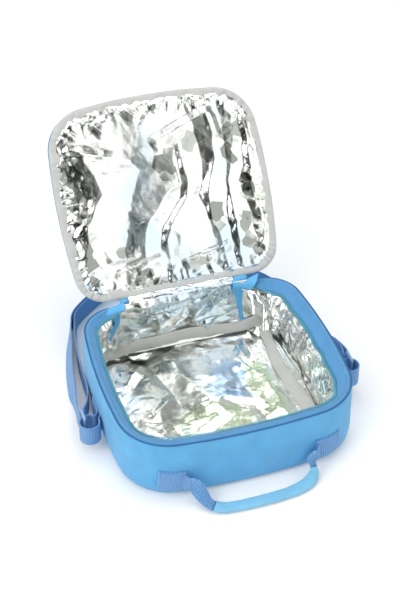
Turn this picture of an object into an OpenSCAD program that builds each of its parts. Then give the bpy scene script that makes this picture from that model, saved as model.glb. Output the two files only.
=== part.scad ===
// Soft insulated lunch box: a padded fabric tub with a foil lining and a zipped lid, lying on
// its back panel. Millimetres, +Z up, origin at the middle of the base, -Y towards the handle.
// The rim outline is made of tangent arcs and one straight rear edge; every layer follows it at
// its own inset, so layers meet face to face.

/* [Body] */
// Width over the sides at the rim
body_w = 240; // [220:1:260]
// Depth from the front of the rim to the rear edge
body_d = 216; // [200:1:232]
// Height of the rim above the base
body_h = 65; // [58:1:90]
// Radius of the two corners at the handle side
front_corner_r = 52; // [42:1:58]
// Radius of the two corners at the hinge side
rear_corner_r = 37; // [34:1:44]
// Radius of the gentle bow of each side
side_bow_r = 600; // [500:10:700]
// Radius of the gentle bow of the front
front_bow_r = 630; // [540:10:800]
// Radius of the turned edge between walls and base
base_edge_r = 8; // [6:0.5:10]
// Width of the rear panel between its two upright seams
rear_panel_w = 140; // [110:1:144]

/* [Layers] */
// Thickness of the outer fabric
fabric_t = 1; // [0.6:0.1:1.5]
// Thickness of the foam padding
foam_t = 4; // [3:0.5:5]
// Thickness of the foil lining
foil_t = 0.6; // [0.4:0.1:1]
// Thickness of the padding in the walls
wall_foam_t = 8.4; // [4:0.2:8.4]
// How high the loose foil puffs up over the floor
floor_puff_h = 5; // [3:0.5:6]
// How high the folds of the lid's loose foil stand out
lid_fold_h = 5; // [3:0.5:6]
// Height of the bound seam round the foot of the lining
seam_binding_h = 10; // [7:0.5:14]
// Thickness of a bound seam
seam_binding_t = 1.6; // [1:0.2:2.4]
// Width of the bound upright seams at the ends of the rear panel
corner_binding_w = 8; // [6:0.5:10]
// Width and height of the piping along the rim
piping_t = 1.6; // [1.2:0.1:2.4]

/* [Zip] */
// Width of each zip tape
tape_w = 9; // [7:0.5:10]
// Thickness of each zip tape
tape_t = 0.8; // [0.6:0.1:1]
// Half the thickness of the zip coil
coil_r = 1.1; // [0.9:0.1:1.4]
// Length of each zip slider
slider_l = 11; // [9:0.5:14]
// Width of each zip slider
slider_w = 8; // [7:0.5:9]
// Thickness of the slider's plates
slider_plate_t = 1; // [0.8:0.1:1.4]
// Length of each zip pull
pull_l = 24; // [18:1:30]

/* [Lid] */
// How far the lid's edge stands inside the rim
lid_inset = 6.8; // [5:0.2:9]
// Height of the closed lid's lining above the rim
lid_rise = 9; // [8:0.5:12]
// Angle from closed to the resting pose
lid_open = 128; // [100:1:140]
// Width of the binding round the lid's lining
lid_binding_w = 10; // [7:0.5:13]
// Thickness of the binding
lid_binding_t = 0.9; // [0.6:0.1:1.4]
// Width of the binding's lip beyond the padded lid
lid_lip = 2.4; // [1.8:0.2:3.4]
// Radius of the lid's outer edge
lid_edge_r = 3; // [2:0.5:3.5]
// Radius of the corded hinge seam
hinge_r = 2; // [1.4:0.2:2.2]
// Height of the hinge line above the rim
hinge_rise = 4.5; // [4:0.25:5]

/* [Webbing] */
// Width of the webbing
web_w = 22; // [18:1:24]
// Thickness of the webbing
web_t = 1.4; // [1:0.1:1.8]
// Distance between the middles of the two handle tabs
handle_tab_gap = 156; // [148:1:164]
// Length of each sewn handle tab
handle_tab_l = 24; // [20:1:28]
// Height of the handle tabs' middle above the base
handle_tab_z = 22.5; // [20:0.5:30]
// Droop of each handle tab towards the middle
handle_tab_droop = 6; // [0:1:12]
// How far the handle's swing line stands off the front
handle_stand_off = 5; // [4.5:0.25:6]
// How far the handle lies out from its swing line
handle_reach = 24; // [18:1:30]
// Width of the rolled sleeve on the handle
grip_w = 13; // [11:0.5:14]
// Thickness of the rolled sleeve
grip_t = 6; // [5:0.5:6.5]
// Height of the strap tabs' middle above the base
strap_tab_z = 25; // [22:1:32]
// Radius of the strap tab's open loop
strap_loop_r = 10.5; // [10:0.5:11.5]
// Length of the strap tab's sewn tail
strap_tail_l = 24; // [16:1:30]

/* [Strap rings] */
// Where along the side each ring hangs, measured from the middle
strap_tab_y = -1; // [-4:0.5:1]
// How far the rings stand off the sides
ring_stand_off = 19; // [18.5:0.5:20]
// How far a ring hangs out from the middle of its loop
ring_play = 4; // [3.5:0.25:4.5]
// Radius of the round bars of the plastic rings
ring_bar_r = 1.5; // [1.2:0.1:1.8]
// Distance between the two upright bars of a ring
ring_pitch = 14; // [13:0.5:16]
// How far behind the tub the strap's length slider lies
strap_slider_behind = 98.5; // [97:0.5:100]

/* [Hidden] */
$fa = 0.8;
$fs = 1;

shell_blue = "#5fa4dd";
band_blue = "#5894c5";
web_blue = "#729ede";
foil = "#c9cbcb";
foam_white = "#e8e6df";
binding_grey = "#dddddd";
seam_grey = "#b1b1b1";
seam_blue = "#2f6dc0";
ring_clear = "#aac4e4";
tooth_teal = "#6fb0b8";

clear = 0.3;        // gap left between pieces that move past each other
arc_lap = 0.1;      // how far each arc of a tab overlaps the next
fold_slit = 0.01;   // hairline between neighbouring arcs of a turned edge
fold_step = 0.04;   // how far a turned edge stands back from the faces of its wall
lap = 0.5;          // how far joined solids of one piece run into each other
round_fn = 32;      // segments of small circles
puff_fn = 64;       // segments of the foil's puffs
half_w = body_w / 2;
half_d = body_d / 2;

// Centres and angles of the outline's arcs on the right-hand half
side_c = [half_w - side_bow_r, 0];
front_c = [0, front_bow_r - half_d];
corner_reach_side = side_bow_r - front_corner_r;
corner_reach_front = front_bow_r - front_corner_r;
centre_gap = norm(front_c - side_c);
centre_dir = (front_c - side_c) / centre_gap;
corner_along = (corner_reach_side ^ 2 - corner_reach_front ^ 2 + centre_gap ^ 2) / (2 * centre_gap);
corner_across = sqrt(corner_reach_side ^ 2 - corner_along ^ 2);
front_corner_c = side_c + corner_along * centre_dir + corner_across * [centre_dir.y, -centre_dir.x];
rear_corner_y = half_d - rear_corner_r;
rear_corner_c = [side_c.x + sqrt((side_bow_r - rear_corner_r) ^ 2 - rear_corner_y ^ 2), rear_corner_y];
front_end_a = atan2(front_corner_c.y - front_c.y, front_corner_c.x);
side_front_a = atan2(front_corner_c.y, front_corner_c.x - side_c.x);
side_rear_a = atan2(rear_corner_c.y, rear_corner_c.x - side_c.x);

// Heights and insets of the layers
tape_end = fabric_t + tape_w;
liner_in = fabric_t + wall_foam_t;
wall_in = liner_in + foil_t;
function rear_face_y(x) = rear_corner_c.y
    + sqrt((rear_corner_r - wall_in) ^ 2 - max(0, x - rear_corner_c.x) ^ 2);
floor_z = fabric_t + foam_t;
floor_top = floor_z + foil_t;
seam_top = floor_top + seam_binding_h;
foot_in = base_edge_r - sqrt((base_edge_r - fabric_t) ^ 2 - (base_edge_r - floor_z) ^ 2) + clear;
pad_top = body_h - tape_t;
body_coil_z = body_h - tape_t / 2;
zip_end_x = rear_panel_w / 2 + 2;

// Puffs of the loose foil: share of the half width, share of the half depth, radius at the foot
puffs = [
    [-0.54, -0.5, 27], [0.02, -0.54, 29], [0.55, -0.5, 27], [-0.56, 0.03, 28], [-0.01, -0.01, 28],
    [0.56, 0.04, 28], [-0.52, 0.55, 27], [0.03, 0.54, 30], [0.54, 0.56, 26]
];

// Folds of the lid's foil: from, to, width, share of the height
lid_folds = [
    [[-74, -50], [-70, 10], 32, 1], [[17, -52], [16, 2], 42, 1], [[-12, 20], [-32, 64], 24, 0.8],
    [[13, 12], [2, 40], 16, 0.8], [[60, -64], [47, 10], 24, 0.9], [[46, 16], [47, 50], 20, 0.6],
    [[69, 14], [68, 84], 13, 0.7]
];

// Hinge line and the closed lid
hinge_web_t = 1.2;
hinge_y = half_d - fabric_t - hinge_web_t;
hinge_z = body_h + hinge_rise;
hinge_w = rear_panel_w - 2;
lid_z = body_h + lid_rise;
lid_liner_z = lid_z + lid_binding_t;
lid_foam_z = lid_liner_z + foil_t;
lid_panel_z = lid_foam_z + foam_t;
lid_top = lid_panel_z + fabric_t;
panel_in = lid_inset + lid_lip;
lid_tape_in = panel_in - clear - tape_t;
lid_coil_in = lid_tape_in + tape_w + coil_r;
lid_coil_z = lid_top + clear + slider_plate_t + clear + coil_r;

// Zip slider and pull
slider_half_h = coil_r + clear + slider_plate_t;
slider_span_a = slider_l / (side_bow_r - lid_coil_in) * 180 / PI;
slider_mid_a = side_rear_a - slider_span_a / 2;
bridge_w = 1.8;
bridge_l = 7.4;
bridge_h = 3.4;
bridge_t = 1;
pull_w = 6.4;
pull_t = 1.2;
pull_bar_r = 0.8;
pull_bar_z = pull_bar_r + 0.4;
pull_arm_w = 1;
pull_rest_a = lid_open - 90;    // hangs straight down beside the open lid

// Handle: sewn tabs with a narrow tongue at the swing line, then gathered webbing and the sleeve
layers_t = 2 * web_t;
tab_mid_x = handle_tab_gap / 2;
tongue_w = 8;
tongue_l = 1.5;
tongue_x = tab_mid_x - handle_tab_l / 2 - tongue_l;
tongue_to_y = front_c.y - sqrt(front_bow_r ^ 2 - tongue_x ^ 2) - layers_t / 2;
swing_y = -half_d - handle_stand_off;
swing_z = handle_tab_z - 2;
grip_z = grip_t / 2 + 0.6;
handle_x = tongue_x - clear;
// Along the handle: share of the half length, share of the reach, share of the height
handle_line = [
    [-1, 0, 1], [-0.975, 0, 1], [-0.945, 0.01, 0.985], [-0.9, 0.09, 0.83], [-0.85, 0.27, 0.5],
    [-0.79, 0.55, 0.2], [-0.7, 0.8, 0.06], [-0.56, 0.93, 0], [-0.38, 0.98, 0], [-0.17, 1, 0],
    [0.06, 1, 0], [0.31, 0.97, 0], [0.56, 0.88, 0], [0.75, 0.72, 0.06], [0.85, 0.55, 0.14],
    [0.9, 0.38, 0.26], [0.912, 0.24, 0.42], [0.907, 0.13, 0.57], [0.9065, 0.05, 0.704],
    [0.917, 0.02, 0.852], [0.9455, 0, 0.96], [0.97, 0, 1], [0.985, 0, 1], [1, 0, 1]
];
// Which way the webbing's width points at each of them, and how wide it is gathered
handle_wide = [
    [0, 0, 1], [0, 0, 1], [0.1, 0, 1], [0.4, 0.1, 0.9], [0.5, 0.4, 0.7],
    [0.3, 0.9, 0.4], [0, 1, 0.25], [0, 1, 0.1], [0, 1, 0], [0, 1, 0],
    [0, 1, 0], [0, 1, 0.1], [0, 1, 0.2], [0, 1, 0.35], [0, 1, 0.6],
    [-0.2, 0.9, 0.8], [-0.5, 0.6, 1], [-0.9, 0.2, 0.6], [-1, 0, 0.1],
    [-0.87, 0, 0.5], [-0.5, 0, 0.87], [0, 0, 1], [0, 0, 1], [0, 0, 1]
];
grip_from = 6;
grip_to = 16;

// Strap rings, tabs and the long strap
ring_x = half_w + ring_stand_off;
ring_rear_y = strap_tab_y;
ring_front_y = ring_rear_y - ring_pitch;
ring_inner_h = web_w + 1;
ring_bend = ring_bar_r + 1;
loop_c = [ring_x - ring_play, ring_front_y - 0.75 * ring_play];
tail_from_y = ring_rear_y - ring_pitch / 2;
tail_to_y = tail_from_y + strap_tail_l;
strap_mid_r = ring_bar_r + clear + web_t / 2;
strap_floor_z = web_w / 2 + clear;
triglide_bar_r = 1.4;
triglide_pitch = 10;
triglide_rail = 2;
triglide_z = web_w / 2 + clear + triglide_rail + clear;
triglide_a = 14;
triglide_c = [-0.35 * half_w, half_d + strap_slider_behind];
triglide_wrap_r = triglide_bar_r + clear + web_t / 2;
triglide_over = triglide_wrap_r + web_t + clear;

// ---- outline tools ----

// A 2D profile carried along one arc of the outline; x is the distance outward of it
module along_arc(centre, r, from_a, to_a) {
    more = arc_lap / r * 180 / PI;
    translate([centre.x, centre.y, 0]) rotate([0, 0, from_a - more])
        rotate_extrude(angle = to_a - from_a + 2 * more) translate([r, 0]) children();
}

// Keeps the part of its children behind the rear panel's seams, or everything else
module rear_part(w) {
    intersection() {
        children();
        translate([-w / 2, 0, 0]) cube([w, body_d, 2 * body_h]);
    }
}

module three_sides(w) {
    difference() {
        children();
        translate([-w / 2, 0, -body_h]) cube([w, body_d, 4 * body_h]);
    }
}

module corner_wedge(c, from_a, to_a) {
    reach = 120;
    mid = (from_a + to_a) / 2;
    polygon([c, c + reach * [cos(from_a), sin(from_a)], c + 2 * reach * [cos(mid), sin(mid)],
        c + reach * [cos(to_a), sin(to_a)]]);
}

// The filled outline, inset all round
module outline(inset) {
    difference() {
        intersection() {
            translate(side_c) circle(side_bow_r - inset);
            mirror([1, 0]) translate(side_c) circle(side_bow_r - inset);
            translate(front_c) circle(front_bow_r - inset);
            translate([-half_w, -half_d]) square([body_w, body_d - inset]);
        }
        for (m = [0, 1]) mirror([m, 0]) {
            difference() {
                corner_wedge(front_corner_c, front_end_a, side_front_a);
                translate(front_corner_c) circle(front_corner_r - inset);
            }
            difference() {
                corner_wedge(rear_corner_c, side_rear_a, 90);
                translate(rear_corner_c) circle(rear_corner_r - inset);
            }
        }
    }
}

module plate(inset, z, t) {
    translate([0, 0, z]) linear_extrude(height = t) outline(inset);
}

// A ring of the outline, w wide from the inset inwards and t high
module band(inset, w, z, t) {
    translate([0, 0, z]) linear_extrude(height = t) difference() {
        outline(inset);
        outline(inset + w);
    }
}

// A quarter ring that turns a wall's edge in by r; z is the level where the wall ends
module turned_edge(inset, r, t, z, way) {
    start = inset + fold_step;
    bend = r - fold_step;
    thick = t - 2 * fold_step;
    module profile() {
        translate([-inset - r, z]) intersection() {
            difference() {
                circle(bend, $fn = round_fn);
                circle(bend - thick, $fn = round_fn);
            }
            translate([0, way < 0 ? -bend : 0]) square(bend);
        }
        translate([-inset - fold_step - thick, z - lap]) square([thick, 2 * lap]);
    }
    module arc(centre, radius, from_a, to_a) {
        less = fold_slit / radius * 180 / PI;
        translate([centre.x, centre.y, 0]) rotate([0, 0, from_a + less])
            rotate_extrude(angle = to_a - from_a - 2 * less) translate([radius, 0]) profile();
    }
    arc(front_c, front_bow_r, -180 - front_end_a, front_end_a);
    for (m = [0, 1]) mirror([m, 0, 0]) {
        arc(front_corner_c, front_corner_r, front_end_a, side_front_a);
        arc(side_c, side_bow_r, side_front_a, side_rear_a);
        arc(rear_corner_c, rear_corner_r, side_rear_a, 90);
    }
    flat = rear_corner_c.x - fold_slit;
    translate([-flat, half_d, 0]) rotate([90, 0, 90]) linear_extrude(height = 2 * flat) profile();
}

// ---- strips and tubes swept along a path ----

function unit(v) = v / norm(v);
function heading(path, i) = unit(path[min(i + 1, len(path) - 1)] - path[max(i - 1, 0)]);
function spline(a, b, c, d, u) =
    0.5 * (2 * b + (c - a) * u + (2 * a - 5 * b + 4 * c - d) * u ^ 2 + (3 * b - a - 3 * c + d) * u ^ 3);
function smooth(path, steps) = [
    for (i = [0:len(path) - 2], k = [0:steps - 1])
        spline(path[max(i - 1, 0)], path[i], path[i + 1], path[min(i + 2, len(path) - 1)], k / steps),
    path[len(path) - 1]
];

// Rings of points round a path; wide[i] is the direction of the strip's width there
function rings(path, wide, section) = [
    for (i = [0:len(path) - 1])
        let (along = heading(path, i), thick = unit(cross(along, wide[i])), across = cross(thick, along))
        [for (q = section[i]) path[i] + q.x * across + q.y * thick]
];

module swept(ring_list) {
    sides = len(ring_list[0]);
    last = len(ring_list) - 1;
    polyhedron(
        points = [for (ring = ring_list, q = ring) q],
        faces = [
            [for (k = [0:sides - 1]) k],
            [for (k = [sides - 1:-1:0]) last * sides + k],
            for (i = [0:last - 1], k = [0:sides - 1])
                let (a = i * sides + k, b = i * sides + (k + 1) % sides)
                each [[a, a + sides, b], [b, a + sides, b + sides]]
        ]
    );
}

function strip_section(w, t) = [[w, t] / 2, [-w, t] / 2, [-w, -t] / 2, [w, -t] / 2];
function round_section(w, t, sides) = [
    for (k = [0:sides - 1]) let (a = 360 * k / sides)
        [w / 2 * sign(cos(a)) * abs(cos(a)) ^ 0.7, t / 2 * sign(sin(a)) * abs(sin(a)) ^ 0.7]
];

// ---- the tub ----

module base_panel() {
    color(shell_blue) plate(base_edge_r, 0, fabric_t);
}

module wall() {
    band(0, fabric_t, base_edge_r, body_h - base_edge_r);
    turned_edge(0, base_edge_r, fabric_t, base_edge_r, -1);
}

module side_wall() {
    color(shell_blue) three_sides(rear_panel_w) wall();
}

module rear_wall() {
    color(shell_blue) rear_part(rear_panel_w) wall();
}

module base_foam() {
    color(foam_white) {
        plate(base_edge_r, fabric_t, foam_t);
        foil_puffs(floor_z - foil_t / 2);
    }
}

module padding() {
    band(fabric_t, wall_foam_t, base_edge_r, pad_top - base_edge_r);
    band(foot_in, liner_in - foot_in, floor_z, base_edge_r - floor_z + lap);
}

module wall_foam() {
    color(foam_white) three_sides(rear_panel_w) padding();
}

module rear_foam() {
    color(foam_white) rear_part(rear_panel_w) padding();
}

// A shallow round dome on the level 0
module dome(r, h) {
    ball_r = (r ^ 2 + h ^ 2) / (2 * h);
    rotate_extrude($fn = puff_fn) intersection() {
        translate([0, h - ball_r]) circle(ball_r, $fn = 4 * puff_fn);
        square([r, h]);
    }
}

module foil_puffs(z) {
    for (p = puffs) translate([p.x * half_w, p.y * half_d, z]) dome(p.z, floor_puff_h);
}

// Long shallow folds that hang from the level z; cut is how much shorter they are at each end
module hanging_folds(z, cut) {
    for (f = lid_folds) {
        h = lid_fold_h * f[3];
        bend_r = ((f[2] / 2) ^ 2 + h ^ 2) / (2 * h);
        run = f[1] - f[0];
        translate([f[0].x, f[0].y, z]) mirror([0, 0, 1]) rotate([0, 0, atan2(run.y, run.x)])
            translate([cut, 0, 0]) rotate([90, 0, 90]) linear_extrude(height = norm(run) - 2 * cut)
                intersection() {
                    translate([0, h - bend_r]) circle(bend_r, $fn = 4 * puff_fn);
                    translate([-f[2] / 2, 0]) square([f[2], h]);
                }
    }
}

module base_liner() {
    color(foil) difference() {
        union() {
            plate(wall_in, floor_z, foil_t);
            foil_puffs(floor_top - foil_t / 2);
        }
        foil_puffs(floor_z - foil_t / 2);
    }
}

module lining() {
    band(liner_in, foil_t, floor_z, pad_top - floor_z);
}

module wall_liner() {
    color(foil) three_sides(rear_panel_w) lining();
}

module rear_liner() {
    color(foil) rear_part(rear_panel_w) lining();
}

module base_seam_binding() {
    color(seam_grey) band(wall_in, seam_binding_t, floor_top, seam_binding_h);
}

module corner_binding() {
    bead = seam_binding_t / 2;
    top = body_coil_z - coil_r - clear;
    seam_x = rear_panel_w / 2 - corner_binding_w / 2;
    translate([seam_x, rear_face_y(seam_x + corner_binding_w) - seam_binding_t, seam_top]) {
        translate([bead, 0, 0]) cube([corner_binding_w - seam_binding_t, seam_binding_t, top - seam_top]);
        for (x = [bead, corner_binding_w - bead]) translate([x, bead, 0])
            cylinder(r = bead, h = top - seam_top, $fn = round_fn);
    }
}

module corner_binding_right() {
    color(seam_blue) corner_binding();
}

module corner_binding_left() {
    color(seam_blue) mirror([1, 0, 0]) corner_binding();
}

module rim_piping() {
    color(seam_blue) three_sides(rear_panel_w) band(0, piping_t, body_h, piping_t);
}

// ---- the zip's two tapes and coils ----

module zip_run(inset, w, z, t) {
    three_sides(2 * zip_end_x) band(inset, w, z, t);
}

module zip_tape_body() {
    color(band_blue) zip_run(fabric_t, tape_w, body_h - tape_t, tape_t);
}

module zip_coil_body() {
    color(tooth_teal) zip_run(tape_end, 2 * coil_r, body_coil_z - coil_r, 2 * coil_r);
}

module zip_tape_lid() {
    low = lid_z + lid_lip;
    color(band_blue) opened() {
        zip_run(lid_tape_in, tape_t, low, lid_coil_z - low);
        zip_run(lid_tape_in, tape_w, lid_coil_z - tape_t / 2, tape_t);
    }
}

module zip_coil_lid() {
    color(tooth_teal) opened()
        zip_run(lid_tape_in + tape_w, 2 * coil_r, lid_coil_z - coil_r, 2 * coil_r);
}

// ---- the lid ----

// Turns what is drawn on the closed lid to the open resting pose
module opened() {
    translate([0, hinge_y, hinge_z]) rotate([-lid_open, 0, 0]) translate([0, -hinge_y, -hinge_z])
        children();
}

module hinge_strip() {
    color(shell_blue) translate([-hinge_w / 2, hinge_y, 0]) rotate([90, 0, 90])
        linear_extrude(height = hinge_w) {
            translate([0, pad_top]) square([hinge_web_t, hinge_z - pad_top]);
            translate([0, hinge_z]) circle(hinge_r, $fn = round_fn);
        }
}

// A strip from just clear of the corded seam to the edge of the lid
module lid_hinge_flap() {
    edge_x = -(lid_inset - fabric_t - hinge_web_t);
    edge_z = lid_z - hinge_z + lid_binding_t / 2;
    flap_t = fabric_t;
    a = atan2(edge_z, edge_x);
    start = hinge_r + clear;
    color(shell_blue) opened() translate([-hinge_w / 2, hinge_y, hinge_z])
        rotate([90, 0, 90]) linear_extrude(height = hinge_w) intersection() {
            rotate(a) translate([start, -flap_t / 2]) square([norm([edge_x, edge_z]) + flap_t, flap_t]);
            translate([edge_x, -hinge_r]) square([-edge_x + hinge_r, lid_rise + hinge_r]);
        }
}

module lid_panel() {
    color(shell_blue) opened() {
        plate(panel_in + lid_edge_r - fold_step - lap, lid_panel_z, fabric_t);
        band(panel_in, fabric_t, lid_foam_z, foam_t + fabric_t - lid_edge_r);
        turned_edge(panel_in, lid_edge_r, fabric_t, lid_top - lid_edge_r, 1);
    }
}

module lid_foam() {
    color(foam_white) opened() {
        plate(panel_in + fabric_t, lid_foam_z, foam_t + fabric_t - lid_edge_r);
        plate(panel_in + lid_edge_r, lid_foam_z, foam_t);
        hanging_folds(lid_foam_z + foil_t / 2, foil_t);
    }
}

module lid_liner() {
    color(foil) opened() difference() {
        union() {
            plate(panel_in, lid_liner_z, foil_t);
            hanging_folds(lid_liner_z + foil_t / 2, 0);
        }
        hanging_folds(lid_foam_z + foil_t / 2, foil_t);
    }
}

module lid_binding() {
    color(binding_grey) opened() {
        band(lid_inset, lid_binding_w, lid_z, lid_binding_t);
        band(lid_inset, lid_lip, lid_z, lid_lip);
    }
}

// ---- zip sliders and pulls, on the lid's coil where its sides meet the rear corners ----

module slider_profile() {
    half = slider_w / 2;
    play = coil_r + clear;
    translate([-lid_coil_in, lid_coil_z]) difference() {
        translate([-half, -slider_half_h]) square([slider_w, 2 * slider_half_h]);
        translate([-play, -play]) square(2 * play);
        translate([0, -tape_t / 2 - clear]) square([half + 1, tape_t + 2 * clear]);
    }
}

// The place of the slider's top face, with x outwards, y towards the hinge and z off the lid
module on_slider() {
    opened() translate([side_c.x, side_c.y, lid_coil_z + slider_half_h]) rotate([0, 0, slider_mid_a])
        translate([side_bow_r - lid_coil_in, 0, 0]) children();
}

module zip_slider() {
    opened() translate([side_c.x, side_c.y, 0])
        rotate([0, 0, slider_mid_a - slider_span_a / 2]) rotate_extrude(angle = slider_span_a)
            translate([side_bow_r, 0]) slider_profile();
    on_slider() difference() {
        translate([-bridge_w / 2, -bridge_l / 2, -lap]) cube([bridge_w, bridge_l, bridge_h + lap]);
        translate([-bridge_w, bridge_t - bridge_l / 2, 0])
            cube([2 * bridge_w, bridge_l - 2 * bridge_t, bridge_h - bridge_t]);
    }
}

module zip_pull() {
    on_slider() translate([0, 0, pull_bar_z]) rotate([pull_rest_a, 0, 0]) {
        rotate([0, 90, 0]) cylinder(r = pull_bar_r, h = pull_w, center = true, $fn = round_fn);
        for (m = [0, 1]) mirror([m, 0, 0])
            translate([pull_w / 2 - pull_arm_w, 0, -pull_t / 2]) cube([pull_arm_w, bridge_l, pull_t]);
        translate([-pull_w / 2, bridge_l - 1.5, -pull_t / 2])
            cube([pull_w, pull_l - pull_w / 2 - bridge_l + 1.5, pull_t]);
        translate([0, pull_l - pull_w / 2, 0])
            cylinder(r = pull_w / 2, h = pull_t, center = true, $fn = round_fn);
    }
}

module zip_slider_right() {
    color(shell_blue) zip_slider();
}

module zip_slider_left() {
    color(shell_blue) mirror([1, 0, 0]) zip_slider();
}

module zip_pull_right() {
    color(web_blue) zip_pull();
}

module zip_pull_left() {
    color(web_blue) mirror([1, 0, 0]) zip_pull();
}

// ---- the carry handle ----

module handle_tab() {
    inner_x = tab_mid_x - handle_tab_l / 2;
    intersection() {
        union() {
            along_arc(front_c, front_bow_r, -90, front_end_a) square([layers_t, body_h]);
            along_arc(front_corner_c, front_corner_r, front_end_a, side_front_a)
                square([layers_t, body_h]);
        }
        translate([tab_mid_x, -half_d, handle_tab_z]) rotate([0, -handle_tab_droop, 0])
            cube([handle_tab_l, body_d / 2, web_w], center = true);
    }
    translate([inner_x - tongue_l, swing_y - web_t / 2, swing_z - tongue_w / 2])
        cube([tongue_l + web_t, tongue_to_y - swing_y + web_t / 2, tongue_w]);
}

module handle_tab_right() {
    color(web_blue) handle_tab();
}

module handle_tab_left() {
    color(web_blue) mirror([1, 0, 0]) handle_tab();
}

handle_path = [for (p = handle_line)
    [handle_x * p.x, swing_y - handle_reach * p.y, grip_z + (swing_z - grip_z) * p.z]];
handle_steps = 3;
grip_rings = [grip_from * handle_steps, grip_to * handle_steps];
smooth_handle = smooth(handle_path, handle_steps);
smooth_wide = smooth(handle_wide, handle_steps);
function gather(i) =
    let (in = min(i, len(smooth_handle) - 1 - i) / grip_rings[0])
    tongue_w + (grip_w - 2.6 - tongue_w) * min(1, max(0, in));

// Webbing from swing line to swing line, running through the sleeve
module handle_webbing() {
    color(web_blue) swept(rings(smooth_handle, smooth_wide,
        [for (i = [0:len(smooth_handle) - 1]) strip_section(gather(i), web_t)]));
}

// The sleeve: fabric rolled round the webbing over the held length
module handle_grip() {
    path = [for (i = [grip_rings[0]:grip_rings[1]]) smooth_handle[i]];
    wide = [for (i = [grip_rings[0]:grip_rings[1]]) smooth_wide[i]];
    last = len(path) - 1;
    fit = 0.1;
    color(shell_blue) difference() {
        swept(rings(path, wide, [for (i = [0:last])
            let (end = min(1, 0.86 + 0.07 * min(i, last - i)))
            round_section(grip_w * end, grip_t * end, 16)]));
        swept(rings(smooth_handle, smooth_wide, [for (i = [0:len(smooth_handle) - 1])
            strip_section(gather(i) + 2 * fit, web_t + 2 * fit)]));
    }
}

// ---- shoulder strap, its tabs, rings and length slider ----

// Seen from above: a loop of webbing whose two ends are sewn to the side as one double layer
module strap_tab_outline() {
    loop_mid_r = strap_loop_r - web_t / 2;
    difference() {
        translate(loop_c) circle(strap_loop_r);
        translate(loop_c) circle(strap_loop_r - web_t);
    }
    intersection() {
        difference() {
            translate(side_c) circle(side_bow_r + layers_t);
            translate(side_c) circle(side_bow_r);
        }
        translate([half_w / 2, tail_from_y]) square([half_w, tail_to_y - tail_from_y]);
    }
    polygon([loop_c - [loop_mid_r, 2], loop_c - [loop_mid_r - 0.9, -4.5],
        [half_w + layers_t - 0.3, tail_from_y + 2], [half_w + 0.3, tail_from_y + 2],
        [half_w + 0.3, tail_from_y - 1]]);
}

module strap_tab() {
    translate([0, 0, strap_tab_z - web_w / 2]) linear_extrude(height = web_w) strap_tab_outline();
}

module strap_tab_right() {
    color(web_blue) strap_tab();
}

module strap_tab_left() {
    color(web_blue) mirror([1, 0, 0]) strap_tab();
}

module strap_ring() {
    y = [ring_front_y, ring_rear_y];
    reach = ring_inner_h / 2 + ring_bar_r;
    z = [strap_tab_z - reach, strap_tab_z + reach];
    translate([ring_x, 0, 0]) {
        for (i = [0, 1]) translate([0, y[i], z[0] + ring_bend])
            cylinder(r = ring_bar_r, h = z[1] - z[0] - 2 * ring_bend, $fn = round_fn);
        for (i = [0, 1]) translate([0, y[0] + ring_bend, z[i]]) rotate([-90, 0, 0])
            cylinder(r = ring_bar_r, h = ring_pitch - 2 * ring_bend, $fn = round_fn);
        for (i = [0, 1], k = [0, 1])
            translate([0, y[i] + (1 - 2 * i) * ring_bend, z[k] + (1 - 2 * k) * ring_bend])
                rotate([90, 0, 90]) rotate([0, 0, i == 0 ? (k == 0 ? 180 : 90) : (k == 0 ? 270 : 0)])
                    rotate_extrude(angle = 90) translate([ring_bend, 0])
                        circle(ring_bar_r, $fn = round_fn);
    }
}

module strap_ring_right() {
    color(ring_clear) strap_ring();
}

module strap_ring_left() {
    color(ring_clear) mirror([1, 0, 0]) strap_ring();
}

// The route is given for rings 139 from the middle and a tub 2 x 108 deep
function place(p) = [p.x * ring_x / 139, p.y * half_d / 108, p.z];
function turn(c, r, from_a, to_a, steps, z) = [
    for (k = [0:steps]) let (a = from_a + (to_a - from_a) * k / steps)
        [c.x + r * cos(a), c.y + r * sin(a), z]
];
function at_triglide(s, n) = [
    triglide_c.x + s * cos(triglide_a) - n * sin(triglide_a),
    triglide_c.y + s * sin(triglide_a) + n * cos(triglide_a), triglide_z
];

ring_l = [-ring_x, ring_rear_y];
ring_r = [ring_x, ring_rear_y];
low = strap_floor_z;
high = strap_tab_z;
mid_z = (low + high) / 2;

// From the end sewn round the length slider's middle bar to the left ring
strap_inner_run = [
    at_triglide(-triglide_pitch, -triglide_over), at_triglide(-22, -triglide_over - 0.4),
    place([-78.6, 188.2, low + 0.6]), place([-102.5, 166.6, low]), place([-109.6, 148, low]),
    place([-114.3, 125, low]), place([-118.5, 98, low]), place([-120.3, 70, low]),
    place([-121.7, 48, low + 1.6]), place([-125.4, 29, mid_z]), place([-131, 12, high - 2.5]),
    [-ring_x + strap_mid_r - 0.1, ring_rear_y + 3, high]
];
// Back from the left ring to the length slider
strap_outer_run = [
    [-ring_x - strap_mid_r + 0.1, ring_rear_y + 3, high], place([-140.6, 12, high - 3.5]),
    place([-138.4, 26, mid_z]), place([-136, 42, low + 1.4]), place([-135, 60, low]),
    place([-129.6, 92, low]), place([-121, 127, low]), place([-114.6, 149, low]),
    place([-105, 169, low]), place([-80.5, 191, low + 0.6]), at_triglide(-22, -triglide_wrap_r)
];
// Through the length slider: under an outer bar, over the middle one, under the other
strap_slider_run = [
    at_triglide(-triglide_pitch - 1, -triglide_wrap_r), at_triglide(-triglide_pitch + 2.6, -1.6),
    at_triglide(-4.6, 1.8), at_triglide(-2, triglide_over - 0.4), at_triglide(0, triglide_over),
    at_triglide(2, triglide_over - 0.4), at_triglide(4.6, 1.8),
    at_triglide(triglide_pitch - 2.6, -1.6), at_triglide(triglide_pitch + 1, -triglide_wrap_r)
];
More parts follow.
